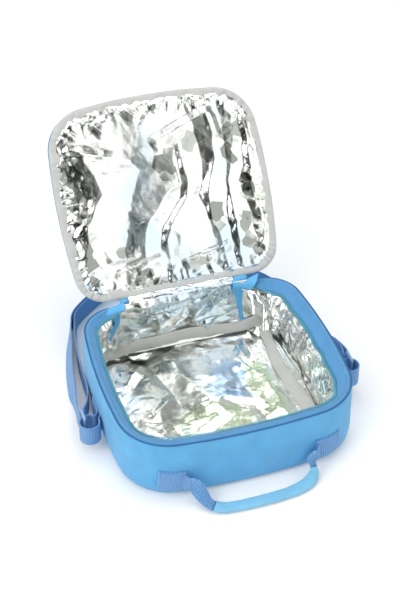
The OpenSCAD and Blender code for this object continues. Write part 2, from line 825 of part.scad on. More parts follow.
// Round the back of the tub and along the right side to the other ring
strap_back_run = [
    place([-14, 208.5, low + 1]), place([20, 209, low]), place([62, 200, low]),
    place([98, 178, low]), place([119, 148, low]), place([130, 112, low]), place([136, 76, low]),
    place([139, 48, low + 1.6]), place([141, 28, mid_z]), place([141.8, 12, high - 2.5]),
    [ring_x + strap_mid_r - 0.1, ring_rear_y + 3, high]
];
strap_sewn_end = [
    [ring_x - strap_mid_r + 0.2, ring_rear_y + 3, high], place([138.6, 9, high - 1.6]),
    place([139.7, 15, high - 3.4]), place([139.3, 26, mid_z + 0.7])
];

strap_path = concat(
    turn(at_triglide(0, 0), triglide_wrap_r, 140 + triglide_a, -80 + triglide_a, 10, triglide_z),
    smooth(strap_inner_run, 4),
    turn(ring_l, strap_mid_r, 0, -180, 10, high),
    smooth(concat(strap_outer_run, strap_slider_run, strap_back_run), 4),
    turn(ring_r, strap_mid_r, 0, -180, 10, high),
    smooth(strap_sewn_end, 3)
);

module shoulder_strap() {
    color(web_blue) swept(rings(strap_path, [for (p = strap_path) [0, 0, 1]],
        [for (p = strap_path) strip_section(web_w, web_t)]));
}

// Three-bar slider that sets the strap's length
module strap_slider() {
    rail_x = triglide_pitch + triglide_bar_r;
    slot_h = web_w + 2 * clear;
    color(ring_clear) translate([triglide_c.x, triglide_c.y, triglide_z]) rotate([0, 0, triglide_a]) {
        for (s = [-1, 0, 1]) translate([s * triglide_pitch, 0, -slot_h / 2 - lap])
            cylinder(r = triglide_bar_r, h = slot_h + 2 * lap, $fn = round_fn);
        for (m = [0, 1]) mirror([0, 0, m]) translate([-rail_x, -triglide_bar_r, slot_h / 2])
            cube([2 * rail_x, 2 * triglide_bar_r, triglide_rail]);
    }
}

// ---- the pieces ----

base_panel();
side_wall();
rear_wall();
base_foam();
wall_foam();
rear_foam();
base_liner();
wall_liner();
rear_liner();
base_seam_binding();
corner_binding_left();
corner_binding_right();
rim_piping();
zip_tape_body();
zip_coil_body();
hinge_strip();
handle_tab_left();
handle_tab_right();
strap_tab_left();
strap_tab_right();
shoulder_strap();
strap_slider();
lid_panel();
lid_foam();
lid_liner();
lid_binding();
lid_hinge_flap();
zip_tape_lid();
zip_coil_lid();
handle_webbing();
handle_grip();
strap_ring_left();
strap_ring_right();
zip_slider_left();
zip_slider_right();
zip_pull_left();
zip_pull_right();
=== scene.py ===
"""Soft insulated lunch box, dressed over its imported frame: padded fabric tub, foil linings, zips,
fabric hinge, bound lid, carry handle and shoulder strap."""

import math
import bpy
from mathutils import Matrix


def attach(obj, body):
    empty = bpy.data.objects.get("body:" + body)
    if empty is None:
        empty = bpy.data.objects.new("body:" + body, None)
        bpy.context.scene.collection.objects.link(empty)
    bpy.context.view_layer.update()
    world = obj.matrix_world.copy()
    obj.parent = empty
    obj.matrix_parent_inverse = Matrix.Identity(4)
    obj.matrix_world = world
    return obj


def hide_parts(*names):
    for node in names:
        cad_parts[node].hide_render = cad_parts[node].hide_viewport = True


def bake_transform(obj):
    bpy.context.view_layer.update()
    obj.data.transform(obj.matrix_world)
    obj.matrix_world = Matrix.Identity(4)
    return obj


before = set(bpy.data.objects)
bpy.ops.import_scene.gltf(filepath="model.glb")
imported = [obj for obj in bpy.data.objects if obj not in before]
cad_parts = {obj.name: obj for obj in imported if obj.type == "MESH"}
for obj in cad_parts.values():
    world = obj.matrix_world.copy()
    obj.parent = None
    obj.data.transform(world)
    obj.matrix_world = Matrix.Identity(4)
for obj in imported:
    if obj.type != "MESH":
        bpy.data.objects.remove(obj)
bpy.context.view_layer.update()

from types import SimpleNamespace

import bmesh
import bpy
import numpy as np
from mathutils import Vector

bl_info = {
    "name": "Insulated Lunch Box",
    "version": (1, 0, 0),
    "blender": (4, 5, 0),
    "location": "View3D > Sidebar > Lunch Box",
    "description": "Builds the fabric, foil, webbing and plastic pieces of a soft lunch box",
    "category": "Add Mesh",
}

MM = 0.001


# ---- settings that a user would change ----

def length_property(label, text, value):
    """A length, written here in millimetres and held in metres"""
    return bpy.props.FloatProperty(
        name=label, description=text, subtype="DISTANCE", unit="LENGTH", default=value * MM, precision=4)


class BodySettings(bpy.types.PropertyGroup):
    """Sizes of the tub and the lid"""

    width: length_property("Width", "Width over the sides at the rim", 240.0)
    depth: length_property("Depth", "Depth from front to rear", 216.0)
    height: length_property("Height", "Height of the rim", 65.0)
    wall_bulge: length_property("Wall bulge", "How far the padded walls stand out at half height", 1.5)
    edge_radius: length_property("Edge radius", "Radius of the turned edge round the base", 8.0)
    lid_rise: length_property("Lid rise", "How far the closed lid stands above the rim", 9.0)
    lid_thickness: length_property("Lid thickness", "Thickness of the padded lid at its edge", 6.5)
    lid_open: bpy.props.FloatProperty(
        name="Lid opening", description="Angle of the open lid", subtype="ANGLE", default=math.radians(128.0))
    crumple: bpy.props.FloatProperty(
        name="Foil crumple", description="Strength of the creases in the foil", subtype="FACTOR", default=1.0,
        min=0.0, max=2.0)


class StrapSettings(bpy.types.PropertyGroup):
    """Sizes of the webbing"""

    width: length_property("Webbing width", "Width of the webbing", 22.0)
    thickness: length_property("Webbing thickness", "Thickness of one layer", 1.4)
    reach: length_property("Handle reach", "How far the handle lies out from its swing line", 24.0)
    grip_width: length_property("Sleeve width", "Width of the sleeve", 11.6)
    grip_thickness: length_property("Sleeve thickness", "Thickness of the sleeve", 5.2)


def colour_property(label, text, value):
    """A colour in Blender's linear light"""
    return bpy.props.FloatVectorProperty(
        name=label, description=text, subtype="COLOR", size=3, min=0.0, max=1.0, default=value)


def linear(*rgb):
    """A colour written as 0 to 255 values, as Blender's linear light"""
    out = []
    for value in rgb:
        c = value / 255
        out.append(c / 12.92 if c <= 0.04045 else ((c + 0.055) / 1.055) ** 2.4)
    return tuple(out)


class ColourSettings(bpy.types.PropertyGroup):
    """Colours of the fabrics, foil and plastics"""

    shell: colour_property("Shell", "Outer fabric", linear(98, 178, 230))
    tape: colour_property("Zip tape", "Tape that carries the zip", linear(88, 152, 204))
    webbing: colour_property("Webbing", "Handle and strap webbing", linear(122, 180, 250))
    sleeve: colour_property("Sleeve", "Fabric of the handle's sleeve", linear(130, 198, 234))
    # on the rim piping this dark colour is painted shade, drawing the shaded fold of the rim seam
    seam: colour_property("Seam", "Dark piping and bound corner seams", linear(44, 104, 160))
    foil: colour_property("Foil", "Metallised lining", linear(238, 240, 238))
    lid_binding: colour_property("Lid binding", "Pale binding round the lid", linear(202, 203, 202))
    floor_binding: colour_property("Floor binding", "Grey binding round the floor", linear(194, 195, 191))
    plastic: colour_property("Clear plastic", "Rings and length slider", linear(176, 202, 236))
    coil: colour_property("Zip coil", "Zip teeth", linear(92, 166, 190))


def sizes(group):
    """A group's settings as plain numbers: lengths in millimetres, angles in degrees"""
    out = {}
    for name, prop in group.bl_rna.properties.items():
        if prop.type == "FLOAT":
            value = getattr(group, name)
            if prop.unit == "LENGTH":
                value = round(value / MM, 4)
            elif prop.unit == "ROTATION":
                value = round(math.degrees(value), 4)
            out[name] = value
    return SimpleNamespace(**out)


# ---- outline of the tub ----

FRONT_CORNER, REAR_CORNER = 106, 302  # the corners' middles, in mm along the outline from the middle of the front
HINGE_IN, HINGE_UP = 2.2, 4.5         # the lid's hinge line, in from the rear edge and above the rim (mm)


class Outline:
    """The rim's outline: tangent arcs and a straight rear edge, walked from the middle of the front"""

    def __init__(self, body, side_bow=600.0, front_bow=630.0, front_corner=52.0, rear_corner=37.0):
        half_w, half_d = body.width / 2, body.depth / 2
        self.half_d = half_d
        side_c = np.array([half_w - side_bow, 0.0])
        front_c = np.array([0.0, front_bow - half_d])
        reach_side, reach_front = side_bow - front_corner, front_bow - front_corner
        gap = np.linalg.norm(front_c - side_c)
        way = (front_c - side_c) / gap
        along = (reach_side ** 2 - reach_front ** 2 + gap ** 2) / (2 * gap)
        across = math.sqrt(reach_side ** 2 - along ** 2)
        corner_f = side_c + along * way + across * np.array([way[1], -way[0]])
        rear_y = half_d - rear_corner
        corner_r = np.array([side_c[0] + math.sqrt((side_bow - rear_corner) ** 2 - rear_y ** 2), rear_y])
        a0 = math.atan2(corner_f[1] - front_c[1], corner_f[0])
        a1 = math.atan2(corner_f[1], corner_f[0] - side_c[0])
        a2 = math.atan2(rear_y, corner_r[0] - side_c[0])
        self.rear_flat = corner_r[0]
        self.arcs = [
            (front_c, front_bow, -math.pi / 2, a0), (corner_f, front_corner, a0, a1),
            (side_c, side_bow, a1, a2), (corner_r, rear_corner, a2, math.pi / 2)]
        self.lengths = [r * (end - start) for _, r, start, end in self.arcs] + [corner_r[0]]
        self.half = sum(self.lengths)
        self.total = 2 * self.half

    def at(self, s):
        """Point on the rim and its outward normal, s millimetres from the middle of the front"""
        s = s % self.total
        mirrored = s > self.half
        if mirrored:
            s = self.total - s
        point = normal = None
        for (centre, radius, start, _), length in zip(self.arcs, self.lengths):
            if s <= length:
                a = start + s / radius
                normal = np.array([math.cos(a), math.sin(a)])
                point = centre + radius * normal
                break
            s -= length
        if point is None:
            point = np.array([self.rear_flat - s, self.half_d])
            normal = np.array([0.0, 1.0])
        if mirrored:
            point, normal = point * (-1, 1), normal * (-1, 1)
        return point, normal

    def stations(self, positions):
        """Points and outward normals at several distances"""
        points, normals = zip(*(self.at(s) for s in positions))
        return np.array(points), np.array(normals)

    def all_round(self, count):
        """Evenly spaced distances round the whole outline, with their points and normals"""
        s = np.arange(count) * self.total / count
        return (s, *self.stations(s))

    def signed(self, s):
        """Distances from the middle of the front, negative on the left side"""
        return np.where(s > self.half, s - self.total, s)


def opened(points, body):
    """Points of the closed lid, turned to the open resting pose about the hinge line"""
    hinge = np.array([0.0, body.depth / 2 - HINGE_IN, body.height + HINGE_UP])
    a = math.radians(-body.lid_open)
    turn = np.array([[1, 0, 0], [0, math.cos(a), -math.sin(a)], [0, math.sin(a), math.cos(a)]])
    return (np.asarray(points) - hinge) @ turn.T + hinge


# ---- fields that crease and crumple ----

def lattice(ix, iy, seed):
    """A repeatable value from 0 to 1 for each cell of a grid"""
    h = (ix * 374761393 + iy * 668265263 + seed * 974634777) & 0xFFFFFFFF
    h = ((h ^ (h >> 13)) * 1274126177) & 0xFFFFFFFF
    return ((h ^ (h >> 16)) & 0xFFFF) / 65535.0


def wave_noise(x, y, size, seed):
    """Smooth noise from -1 to 1 whose bumps are about size across"""
    x, y = x / size, y / size
    ix, iy = np.floor(x).astype(np.int64), np.floor(y).astype(np.int64)
    fx, fy = x - ix, y - iy
    fx, fy = fx * fx * fx * (fx * (fx * 6 - 15) + 10), fy * fy * fy * (fy * (fy * 6 - 15) + 10)
    a, b = lattice(ix, iy, seed), lattice(ix + 1, iy, seed)
    c, d = lattice(ix, iy + 1, seed), lattice(ix + 1, iy + 1, seed)
    return 2 * ((a * (1 - fx) + b * fx) * (1 - fy) + (c * (1 - fx) + d * fx) * fy) - 1


def ripple(s, size, seed):
    """Smooth noise along a line"""
    return wave_noise(s, s * 0, size, seed)


def bell(x, middle, width):
    """A smooth bump of height 1"""
    return np.exp(-((x - middle) / width) ** 2)


def facets(x, y, size, slope, seed, roundness=0.35):
    """Creased facets about size across, tilted up to slope, as stiff film folds"""
    warp = size * 0.35
    x = x + warp * wave_noise(x, y, size * 1.3, seed + 91)
    y = y + warp * wave_noise(x, y, size * 1.3, seed + 92)
    ix, iy = np.floor(x / size).astype(np.int64), np.floor(y / size).astype(np.int64)
    high = np.full(x.shape, -1e9)
    low = np.full(x.shape, 1e9)
    for dx in (-1, 0, 1):
        for dy in (-1, 0, 1):
            jx, jy = ix + dx, iy + dy
            cx = (jx + 0.15 + 0.7 * lattice(jx, jy, seed + 1)) * size
            cy = (jy + 0.15 + 0.7 * lattice(jx, jy, seed + 2)) * size
            px, py = x - cx, y - cy
            far = (px ** 2 + py ** 2) / size
            gx = (2 * lattice(jx, jy, seed + 3) - 1) * slope
            gy = (2 * lattice(jx, jy, seed + 4) - 1) * slope
            lift = (lattice(jx, jy, seed + 5) - 0.5) * slope * size * 0.5
            high = np.maximum(high, lift + gx * px + gy * py - roundness * slope * 2.2 * far)
            low = np.minimum(low, -lift + gy * px - gx * py + roundness * slope * 2.2 * far)
    return (high + low) * 0.6


def ease(a, b, x):
    """Rises smoothly from 0 at a to 1 at b"""
    t = np.clip((x - a) / (b - a), 0, 1)
    return t * t * (3 - 2 * t)


def creased(x, y, depths, creases, half_w):
    """Height of film folded along creases; each has its x and its height at the given depths"""
    x = x + 1.3 * wave_noise(x, y, 13, 201) + 0.5 * wave_noise(x, y, 5, 202)
    y = y + 2.0 * wave_noise(x, y, 17, 203)
    places = [np.full(x.shape, -float(half_w))] + [np.interp(y, depths, c[0]) for c in creases]
    places.append(np.full(x.shape, float(half_w)))
    heights = [np.zeros(x.shape)] + [np.interp(y, depths, c[1]) for c in creases] + [np.zeros(x.shape)]
    out = np.zeros(x.shape)
    for x0, x1, h0, h1 in zip(places[:-1], places[1:], heights[:-1], heights[1:]):
        inside = (x >= x0) & (x < x1)
        share = (x - x0) / np.maximum(x1 - x0, 0.5)
        out = np.where(inside, h0 + (h1 - h0) * share, out)
    return out


def fold_line(x, y, start, end, height, width, other=None):
    """A fold that rises along the line from start to end; other is its width on the far side"""
    (x0, y0), (x1, y1) = start, end
    length = math.hypot(x1 - x0, y1 - y0)
    along = ((x - x0) * (x1 - x0) + (y - y0) * (y1 - y0)) / length
    across = ((x - x0) * (y1 - y0) - (y - y0) * (x1 - x0)) / length
    width = np.where(across > 0, width, other or width)
    fade = np.clip(np.minimum(along, length - along) / 7 + 0.4, 0, 1)
    return height * np.clip(1 - np.abs(across) / width, 0, 1) * fade


# ---- building meshes ----

def deselect():
    for obj in bpy.context.selected_objects:
        obj.select_set(False)


def select_only(piece):
    """Selects one piece and makes it the active one"""
    deselect()
    piece.select_set(True)
    bpy.context.view_layer.objects.active = piece


def new_piece(name, points_mm, faces, uvs=None, recalc=True, smooth_angle=None):
    """A mesh object at the origin; uvs holds one pair per face corner"""
    mesh = bpy.data.meshes.new(name)
    mesh.from_pydata((np.asarray(points_mm, float) * MM).tolist(), [], [list(map(int, f)) for f in faces])
    if uvs is not None:
        layer = mesh.uv_layers.new(name="cloth")
        layer.data.foreach_set("uv", np.asarray(uvs, np.float32).ravel())
    piece = bpy.data.objects.new(name, mesh)
    bpy.context.scene.collection.objects.link(piece)
    if recalc:
        bm = bmesh.new()
        bm.from_mesh(mesh)
        bmesh.ops.recalc_face_normals(bm, faces=bm.faces)
        bm.to_mesh(mesh)
        bm.free()
    shade(piece, smooth_angle)
    return piece


def shade(piece, smooth_angle=None):
    """Smooth shading, with edges sharper than smooth_angle degrees left sharp"""
    select_only(piece)
    if smooth_angle is None:
        bpy.ops.object.shade_smooth()
    else:
        bpy.ops.object.shade_smooth_by_angle(angle=math.radians(smooth_angle))


def apply_modifier(piece, kind, **settings):
    """Adds a modifier with its settings and applies it"""
    modifier = piece.modifiers.new(kind.title(), kind)
    for key, value in settings.items():
        setattr(modifier, key, value)
    select_only(piece)
    bpy.ops.object.modifier_apply(modifier=modifier.name)


def distances(path):
    """How far each point of a path lies from its start, along it"""
    return np.concatenate([[0], np.cumsum(np.linalg.norm(np.diff(path, axis=0), axis=1))])


def between(s, total, values):
    """The values at distance s, where total holds the distance of each row of values"""
    return np.array([np.interp(s, total, values[:, k]) for k in range(3)])


def grid_faces(rows, cols, close_rows=False, close_cols=False):
    """Quads of a lofted grid of points, and the (row, col) of each corner before wrapping"""
    r = np.arange(rows if close_rows else rows - 1)
    c = np.arange(cols if close_cols else cols - 1)
    rr, cc = np.meshgrid(r, c, indexing="ij")
    rr, cc = rr.ravel(), cc.ravel()
    corners_r = np.stack([rr, rr + 1, rr + 1, rr], 1)
    corners_c = np.stack([cc, cc, cc + 1, cc + 1], 1)
    faces = (corners_r % rows) * cols + corners_c % cols
    return faces, corners_r, corners_c


def loft(name, grid, close_rows=False, u=None, v=None):
    """A skin over closed rings of points, capped unless the last ring meets the first.
    u runs from ring to ring and v round each ring, in metres"""
    rows, cols = grid.shape[:2]
    faces, cr, cc = grid_faces(rows, cols, close_rows, True)
    faces_list = faces.tolist()
    if u is None:
        u = distances(grid.mean(1)) * MM
    if v is None:
        ring = grid[rows // 2]
        v = distances(np.vstack([ring, ring[:1]])) * MM
    u = np.append(u, u[-1] + (u[-1] - u[-2])) if len(u) == rows else u
    v = np.append(v, v[-1] + (v[-1] - v[-2])) if len(v) == cols else v
    uvs = np.stack([u[cr], v[cc]], -1).reshape(-1, 2)
    if not close_rows:
        first, last = list(range(cols - 1, -1, -1)), list(range((rows - 1) * cols, rows * cols))
        faces_list += [first, last]
        flat = [[float(u[0]), float(v[k])] for k in first]
        flat += [[float(u[rows - 1]), float(v[k])] for k in range(cols)]
        uvs = np.vstack([uvs, flat])
    return new_piece(name, grid.reshape(-1, 3), faces_list, uvs)


def slab_rows(ring, inset, top, bottom):
    """Rings of a flat slab, from the middle of its top out to its edge and back underneath"""
    return np.array([ring(inset, top, share) for share in (0.02, 0.6, 1.0)]
                    + [ring(inset, bottom, share) for share in (1.0, 0.6, 0.02)])


def smooth_line(points, steps):
    """A curve through the points, steps pieces between each pair"""
    p = np.asarray(points, float)
    out = []
    for i in range(len(p) - 1):
        a, b, c, d = p[max(i - 1, 0)], p[i], p[i + 1], p[min(i + 2, len(p) - 1)]
        for k in range(steps):
            t = k / steps
            out.append(0.5 * (2 * b + (c - a) * t + (2 * a - 5 * b + 4 * c - d) * t ** 2
                              + (3 * b - a - 3 * c + d) * t ** 3))
    out.append(p[-1])
    return np.array(out)


def unit(v):
    """The same directions, at length 1"""
    return v / np.maximum(np.linalg.norm(v, axis=-1, keepdims=True), 1e-9)


def frames(path, wide):
    """Directions along a path, across a strip that follows it, and through the strip"""
    along = unit(np.gradient(path, axis=0))
    through = unit(np.cross(along, wide))
    return along, unit(np.cross(through, along)), through


def strip_section(width, thick, per_side=3):
    """Rounded rectangle, width by thick, as (across, through) pairs"""
    r = thick / 2
    half = width / 2 - r
    flat = np.linspace(-half, half, per_side + 2)
    ring = [(x, -r) for x in flat]
    ring += [(half + r * math.cos(a), r * math.sin(a)) for a in (-0.8, 0.0, 0.8)]
    ring += [(x, r) for x in flat[::-1]]
    ring += [(-half - r * math.cos(a), r * math.sin(a)) for a in (0.8, 0.0, -0.8)]
    return np.array(ring)


def webbing_strip(name, path, wide, widths, thick, per_side=5):
    """A length of webbing along a path, with its own map: u along it and v across"""
    _, across, through = frames(path, np.asarray(wide, float))
    widths = np.broadcast_to(widths, len(path))
    rows = []
    for i in range(len(path)):
        section = strip_section(widths[i], thick, per_side)
        rows.append(path[i] + section[:, :1] * across[i] + section[:, 1:] * through[i])
    section = strip_section(float(np.max(widths)), thick, per_side)
    v = np.append(section[:, 0], section[0, 0]) * MM
    return loft(name, np.array(rows), v=v)


def tube(name, path, radius, sides, closed=False):
    """A round cord along a path"""
    path = np.asarray(path, float)
    if closed:
        along = unit(np.roll(path, -1, 0) - np.roll(path, 1, 0))
    else:
        along = unit(np.gradient(path, axis=0))
    up = np.broadcast_to(np.array([0.0, 0.0, 1.0]), path.shape)
    flat = np.abs(along[:, 2:]) > 0.95
    up = np.where(flat, np.array([1.0, 0.0, 0.0]), up)
    side = unit(np.cross(along, up))
    top = np.cross(side, along)
    angle = np.linspace(0, 2 * math.pi, sides, endpoint=False)
    grid = (path[:, None] + radius * (np.cos(angle)[None, :, None] * side[:, None]
            + np.sin(angle)[None, :, None] * top[:, None]))
    return loft(name, grid, close_rows=closed)


def stitches(name, runs, length=2.4, gap=0.9, radius=0.26):
    """Rows of thread stitches; each run is a path and the surface normals along it"""
    points, faces = [], []
    for path, normals in runs:
        path, normals = np.asarray(path, float), np.asarray(normals, float)
        total = distances(path)
        for start in np.arange(gap, total[-1] - length, length + gap):
            ends = [between(s, total, path) for s in (start, start + length)]
            mid = (ends[0] + ends[1]) / 2
            n = unit(between(start + length / 2, total, normals))
            side = unit(np.cross(ends[1] - ends[0], n))
            base = len(points)
            points += [ends[0], ends[1], mid + n * radius * 1.3, mid + side * radius,
                       mid - n * radius, mid - side * radius]
            for k in range(4):
                a, b = base + 2 + k, base + 2 + (k + 1) % 4
                faces += [[base, a, b], [base + 1, b, a]]
    return new_piece(name, points, faces)


def box_stitches(name, low, high, count, surface):
    """Thread sewn round a box and along its diagonals; surface gives points and normals on the webbing"""
    corners = (low, (high[0], low[1]), high, (low[0], high[1]))
    runs = []
    for a, b in ((0, 1), (1, 2), (2, 3), (3, 0), (0, 2), (1, 3)):
        (s0, z0), (s1, z1) = corners[a], corners[b]
        t = np.linspace(0, 1, count)
        runs.append(surface(s0 + (s1 - s0) * t, z0 + (z1 - z0) * t))
    dress(stitches(name, runs), finish("thread"), "tub")


def join(name, pieces):
    """Several pieces as one"""
    deselect()
    for piece in pieces:
        piece.select_set(True)
    bpy.context.view_layer.objects.active = pieces[0]
    bpy.ops.object.join()
    pieces[0].name = name
    pieces[0].data.name = name
    return pieces[0]


def dress(piece, material, body, replaces=()):
    """Gives a piece its material, its body and the nodes that it stands for"""
    piece.data.materials.clear()
    piece.data.materials.append(material)
    if body:
        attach(piece, body)
    if replaces:
        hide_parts(*replaces)
    return piece


# ---- materials ----

def add_node(tree, kind, inputs=None, **settings):
    """A node with its settings, and with its inputs set or linked"""
    new = tree.nodes.new("ShaderNode" + kind)
    for key, value in settings.items():
        setattr(new, key, value)
    for key, value in (inputs or {}).items():
        if isinstance(value, bpy.types.NodeSocket):
            tree.links.new(value, new.inputs[key])
        else:
            new.inputs[key].default_value = value
    return new


class Shader:
    """A small helper that adds nodes to a material and links them"""

    def __init__(self, name):
        self.material = bpy.data.materials.new(name)
        self.material.use_nodes = True
        self.tree = self.material.node_tree
        self.surface = self.tree.nodes["Principled BSDF"]
        coords = self.tree.nodes.new("ShaderNodeTexCoord")
        self.place = coords.outputs["Object"]
        self.map = coords.outputs["UV"]

    def node(self, kind, inputs=None, **settings):
        return add_node(self.tree, kind, inputs, **settings)

    def noise(self, scale, detail=3.0, source=None, distortion=0.0):
        return self.node("TexNoise", {"Vector": source or self.place, "Scale": scale, "Detail": detail,
                                      "Roughness": 0.55, "Distortion": distortion}).outputs["Fac"]

    def maths(self, operation, a, b=0.0):
        return self.node("Math", {0: a, 1: b}, operation=operation).outputs[0]

    def vectors(self, operation, a, b=(0, 0, 0)):
        return self.node("VectorMath", {0: a, 1: b}, operation=operation).outputs

    def spread(self, value, low, high, to_low=0.0, to_high=1.0):
        return self.node("MapRange", {"Value": value, "From Min": low, "From Max": high,
                                      "To Min": to_low, "To Max": to_high}).outputs["Result"]

    def mix(self, factor, a, b):
        """Mixes two colours"""
        return self.node("Mix", {0: factor, 6: a, 7: b}, data_type="RGBA").outputs[2]

    def bump(self, height, distance, strength=1.0, below=None):
        inputs = {"Height": height, "Distance": distance, "Strength": strength}
        if below is not None:
            inputs["Normal"] = below
        return self.node("Bump", inputs).outputs["Normal"]

    def split(self, vector):
        return self.node("SeparateXYZ", {0: vector}).outputs

    def thread(self, value, pitch):
        """Rises and falls once every pitch metres"""
        return self.maths("SINE", self.maths("MULTIPLY", value, 2 * math.pi / pitch))

    def link(self, socket, name):
        self.tree.links.new(socket, self.surface.inputs[name])

    def set(self, **values):
        for key, value in values.items():
            name = key.replace("_", " ")
            for socket in self.surface.inputs:
                if socket.name.lower() == name.lower():
                    socket.default_value = value
                    break
            else:
                raise ValueError("no socket " + name)


def rgba(colour, gain=1.0):
    """A colour with its alpha, made lighter or darker by gain"""
    return tuple(min(1.0, c * gain) for c in colour) + (1.0,)


def woven(name, colour, pitch=0.00042, mapped=False, depth=0.00006, mottling=0.05, roughness=0.72, sheen=0.25):
    """Plain-woven polyester: fine threads both ways, slight mottling and soft unevenness"""
    s = Shader(name)
    if mapped:
        x, y, _ = s.split(s.map)
    else:
        x, y, z = s.split(s.place)
        x = s.maths("ADD", x, s.maths("MULTIPLY", y, 0.93))
        y = s.maths("ADD", z, s.maths("MULTIPLY", y, 0.21))
    warp, weft = s.thread(x, pitch), s.thread(y, pitch)
    weave = s.maths("MULTIPLY", warp, weft)
    cloud = s.noise(60.0, 4.0)
    slub = s.noise(900.0, 2.0)
    tone = s.maths("ADD", s.maths("MULTIPLY", cloud, 0.7), s.maths("MULTIPLY", slub, 0.3))
    tone = s.maths("ADD", tone, s.maths("MULTIPLY", weave, 0.06))
    s.link(s.mix(s.spread(tone, 0.3, 0.7), rgba(colour, 1 - 2 * mottling), rgba(colour, 1 + 2 * mottling)),
           "Base Color")
    s.link(s.spread(slub, 0.3, 0.7, roughness - 0.06, roughness + 0.06), "Roughness")
    wrinkle = s.bump(s.noise(140.0, 3.0, distortion=0.4), 0.0004, 0.5)
    s.link(s.bump(weave, depth, 0.7, wrinkle), "Normal")
    s.set(Sheen_Weight=sheen, Sheen_Roughness=0.45, Specular_IOR_Level=0.3)
    return s.material


def ribbed(name, colour, pitch=0.0023, roughness=0.62):
    """Webbing with bold ribs across it and a finer weave along it, on its own map"""
    s = Shader(name)
    along, across, _ = s.split(s.map)
    step = s.maths("MULTIPLY", s.thread(across, 0.0036), 0.0004)
    rib = s.thread(s.maths("ADD", along, step), pitch)
    lengthwise = s.thread(across, 0.0011)
    weave = s.maths("ADD", rib, s.maths("MULTIPLY", lengthwise, 0.45))
    fuzz = s.noise(700.0, 3.0)
    tone = s.maths("ADD", s.maths("MULTIPLY", weave, 0.24), s.maths("MULTIPLY", fuzz, 0.9))
    s.link(s.mix(s.spread(tone, 0.1, 0.8), rgba(colour, 0.72), rgba(colour, 1.22)), "Base Color")
    s.link(s.spread(fuzz, 0.3, 0.7, roughness - 0.05, roughness + 0.08), "Roughness")
    s.link(s.bump(weave, 0.0004, 1.0, s.bump(fuzz, 0.0002, 0.4)), "Normal")
    s.set(Sheen_Weight=0.3, Sheen_Roughness=0.4, Specular_IOR_Level=0.3)
    return s.material


def crinkled_foil(name, colour, drawn, streaks, painted_reflection_spots, soft=0.4, cells=0.0):
    """Metallised film: mirror-like faces with hazier patches, fine drawn wrinkles, and painted reflections in its
    colour: faint blue and pale green tints and listed darker and tinted spots
    """
    s = Shader(name)
    haze = s.noise(26.0, 3.0, distortion=0.6)
    # painted reflections: noise scatters faint blue and pale green tints that stand for coloured things reflected in
    # the foil
    tint = s.noise(11.0, 1.0, distortion=0.4)
    blue_reflection_tint = s.mix(s.spread(tint, 0.56, 0.66), rgba(colour), rgba((colour[0] * 0.80, colour[1] * 0.90, colour[2])))
    painted_reflection_colour = s.mix(s.spread(tint, 0.30, 0.40), rgba((colour[0] * 0.93, colour[1] * 0.97, colour[2] * 0.88)), blue_reflection_tint)
    ragged = s.noise(30.0, 4.0, distortion=1.0)
    crease = s.place
    if cells:
        crease = s.node("TexVoronoi", {"Vector": crease, "Scale": cells}).outputs["Position"]
    # painted reflections: each listed spot multiplies the foil's colour by its tone, standing for surroundings
    # reflected there
    for centre, radii, tone in painted_reflection_spots:
        offset = s.vectors("SUBTRACT", crease, centre)[0]
        offset = s.vectors("MULTIPLY", offset, tuple(1 / r for r in radii))[0]
        away = s.maths("ADD", s.vectors("LENGTH", offset)["Value"], s.maths("MULTIPLY", ragged, 1.2))
        share = s.spread(away, 1.6 + soft / 2, 1.6 - soft / 2)
        painted_reflection_colour = s.mix(share, painted_reflection_colour, rgba(tuple(c * k for c, k in zip(colour, tone))))
    s.link(painted_reflection_colour, "Base Color")
    s.link(s.spread(haze, 0.35, 0.7, 0.10, 0.24), "Roughness")
    fine = s.noise(520.0, 3.0, distortion=1.0)
    base = s.bump(s.noise(120.0, 3.0, distortion=2.2), 0.0003, drawn)
    if streaks:
        skew = s.node("Mapping", {"Vector": s.place, "Rotation": (0, 0, 0.75), "Scale": (1, 0.28, 0.6)}).outputs[0]
        base = s.bump(s.noise(190.0, 4.0, source=skew, distortion=1.2), 0.0004, streaks, base)
    s.link(s.bump(fine, 0.00005, 0.25, base), "Normal")
    s.set(Metallic=1.0)
    return s.material


def moulded(name, colour, roughness=0.3, clear=0.0):
    """Moulded plastic with a faint flow pattern and handling marks"""
    s = Shader(name)
    flow = s.noise(160.0, 3.0, distortion=0.6)
    marks = s.noise(1400.0, 2.0)
    s.link(s.mix(s.spread(flow, 0.3, 0.7), rgba(colour, 0.94), rgba(colour, 1.05)), "Base Color")
    s.link(s.spread(marks, 0.3, 0.75, roughness - 0.06, roughness + 0.1), "Roughness")
    s.link(s.bump(flow, 0.00012, 0.4), "Normal")
    s.set(Transmission_Weight=clear, IOR=1.46)
    return s.material


def foam_material(name, colour):
    """Closed-cell foam"""
    s = Shader(name)
    cell = s.node("TexVoronoi", {"Vector": s.place, "Scale": 900.0}).outputs["Distance"]
    s.link(s.mix(s.spread(cell, 0.0, 0.8), rgba(colour), rgba(colour, 0.85)), "Base Color")
    s.link(s.bump(cell, 0.0003, 0.6), "Normal")
    s.set(Roughness=0.9)
    return s.material


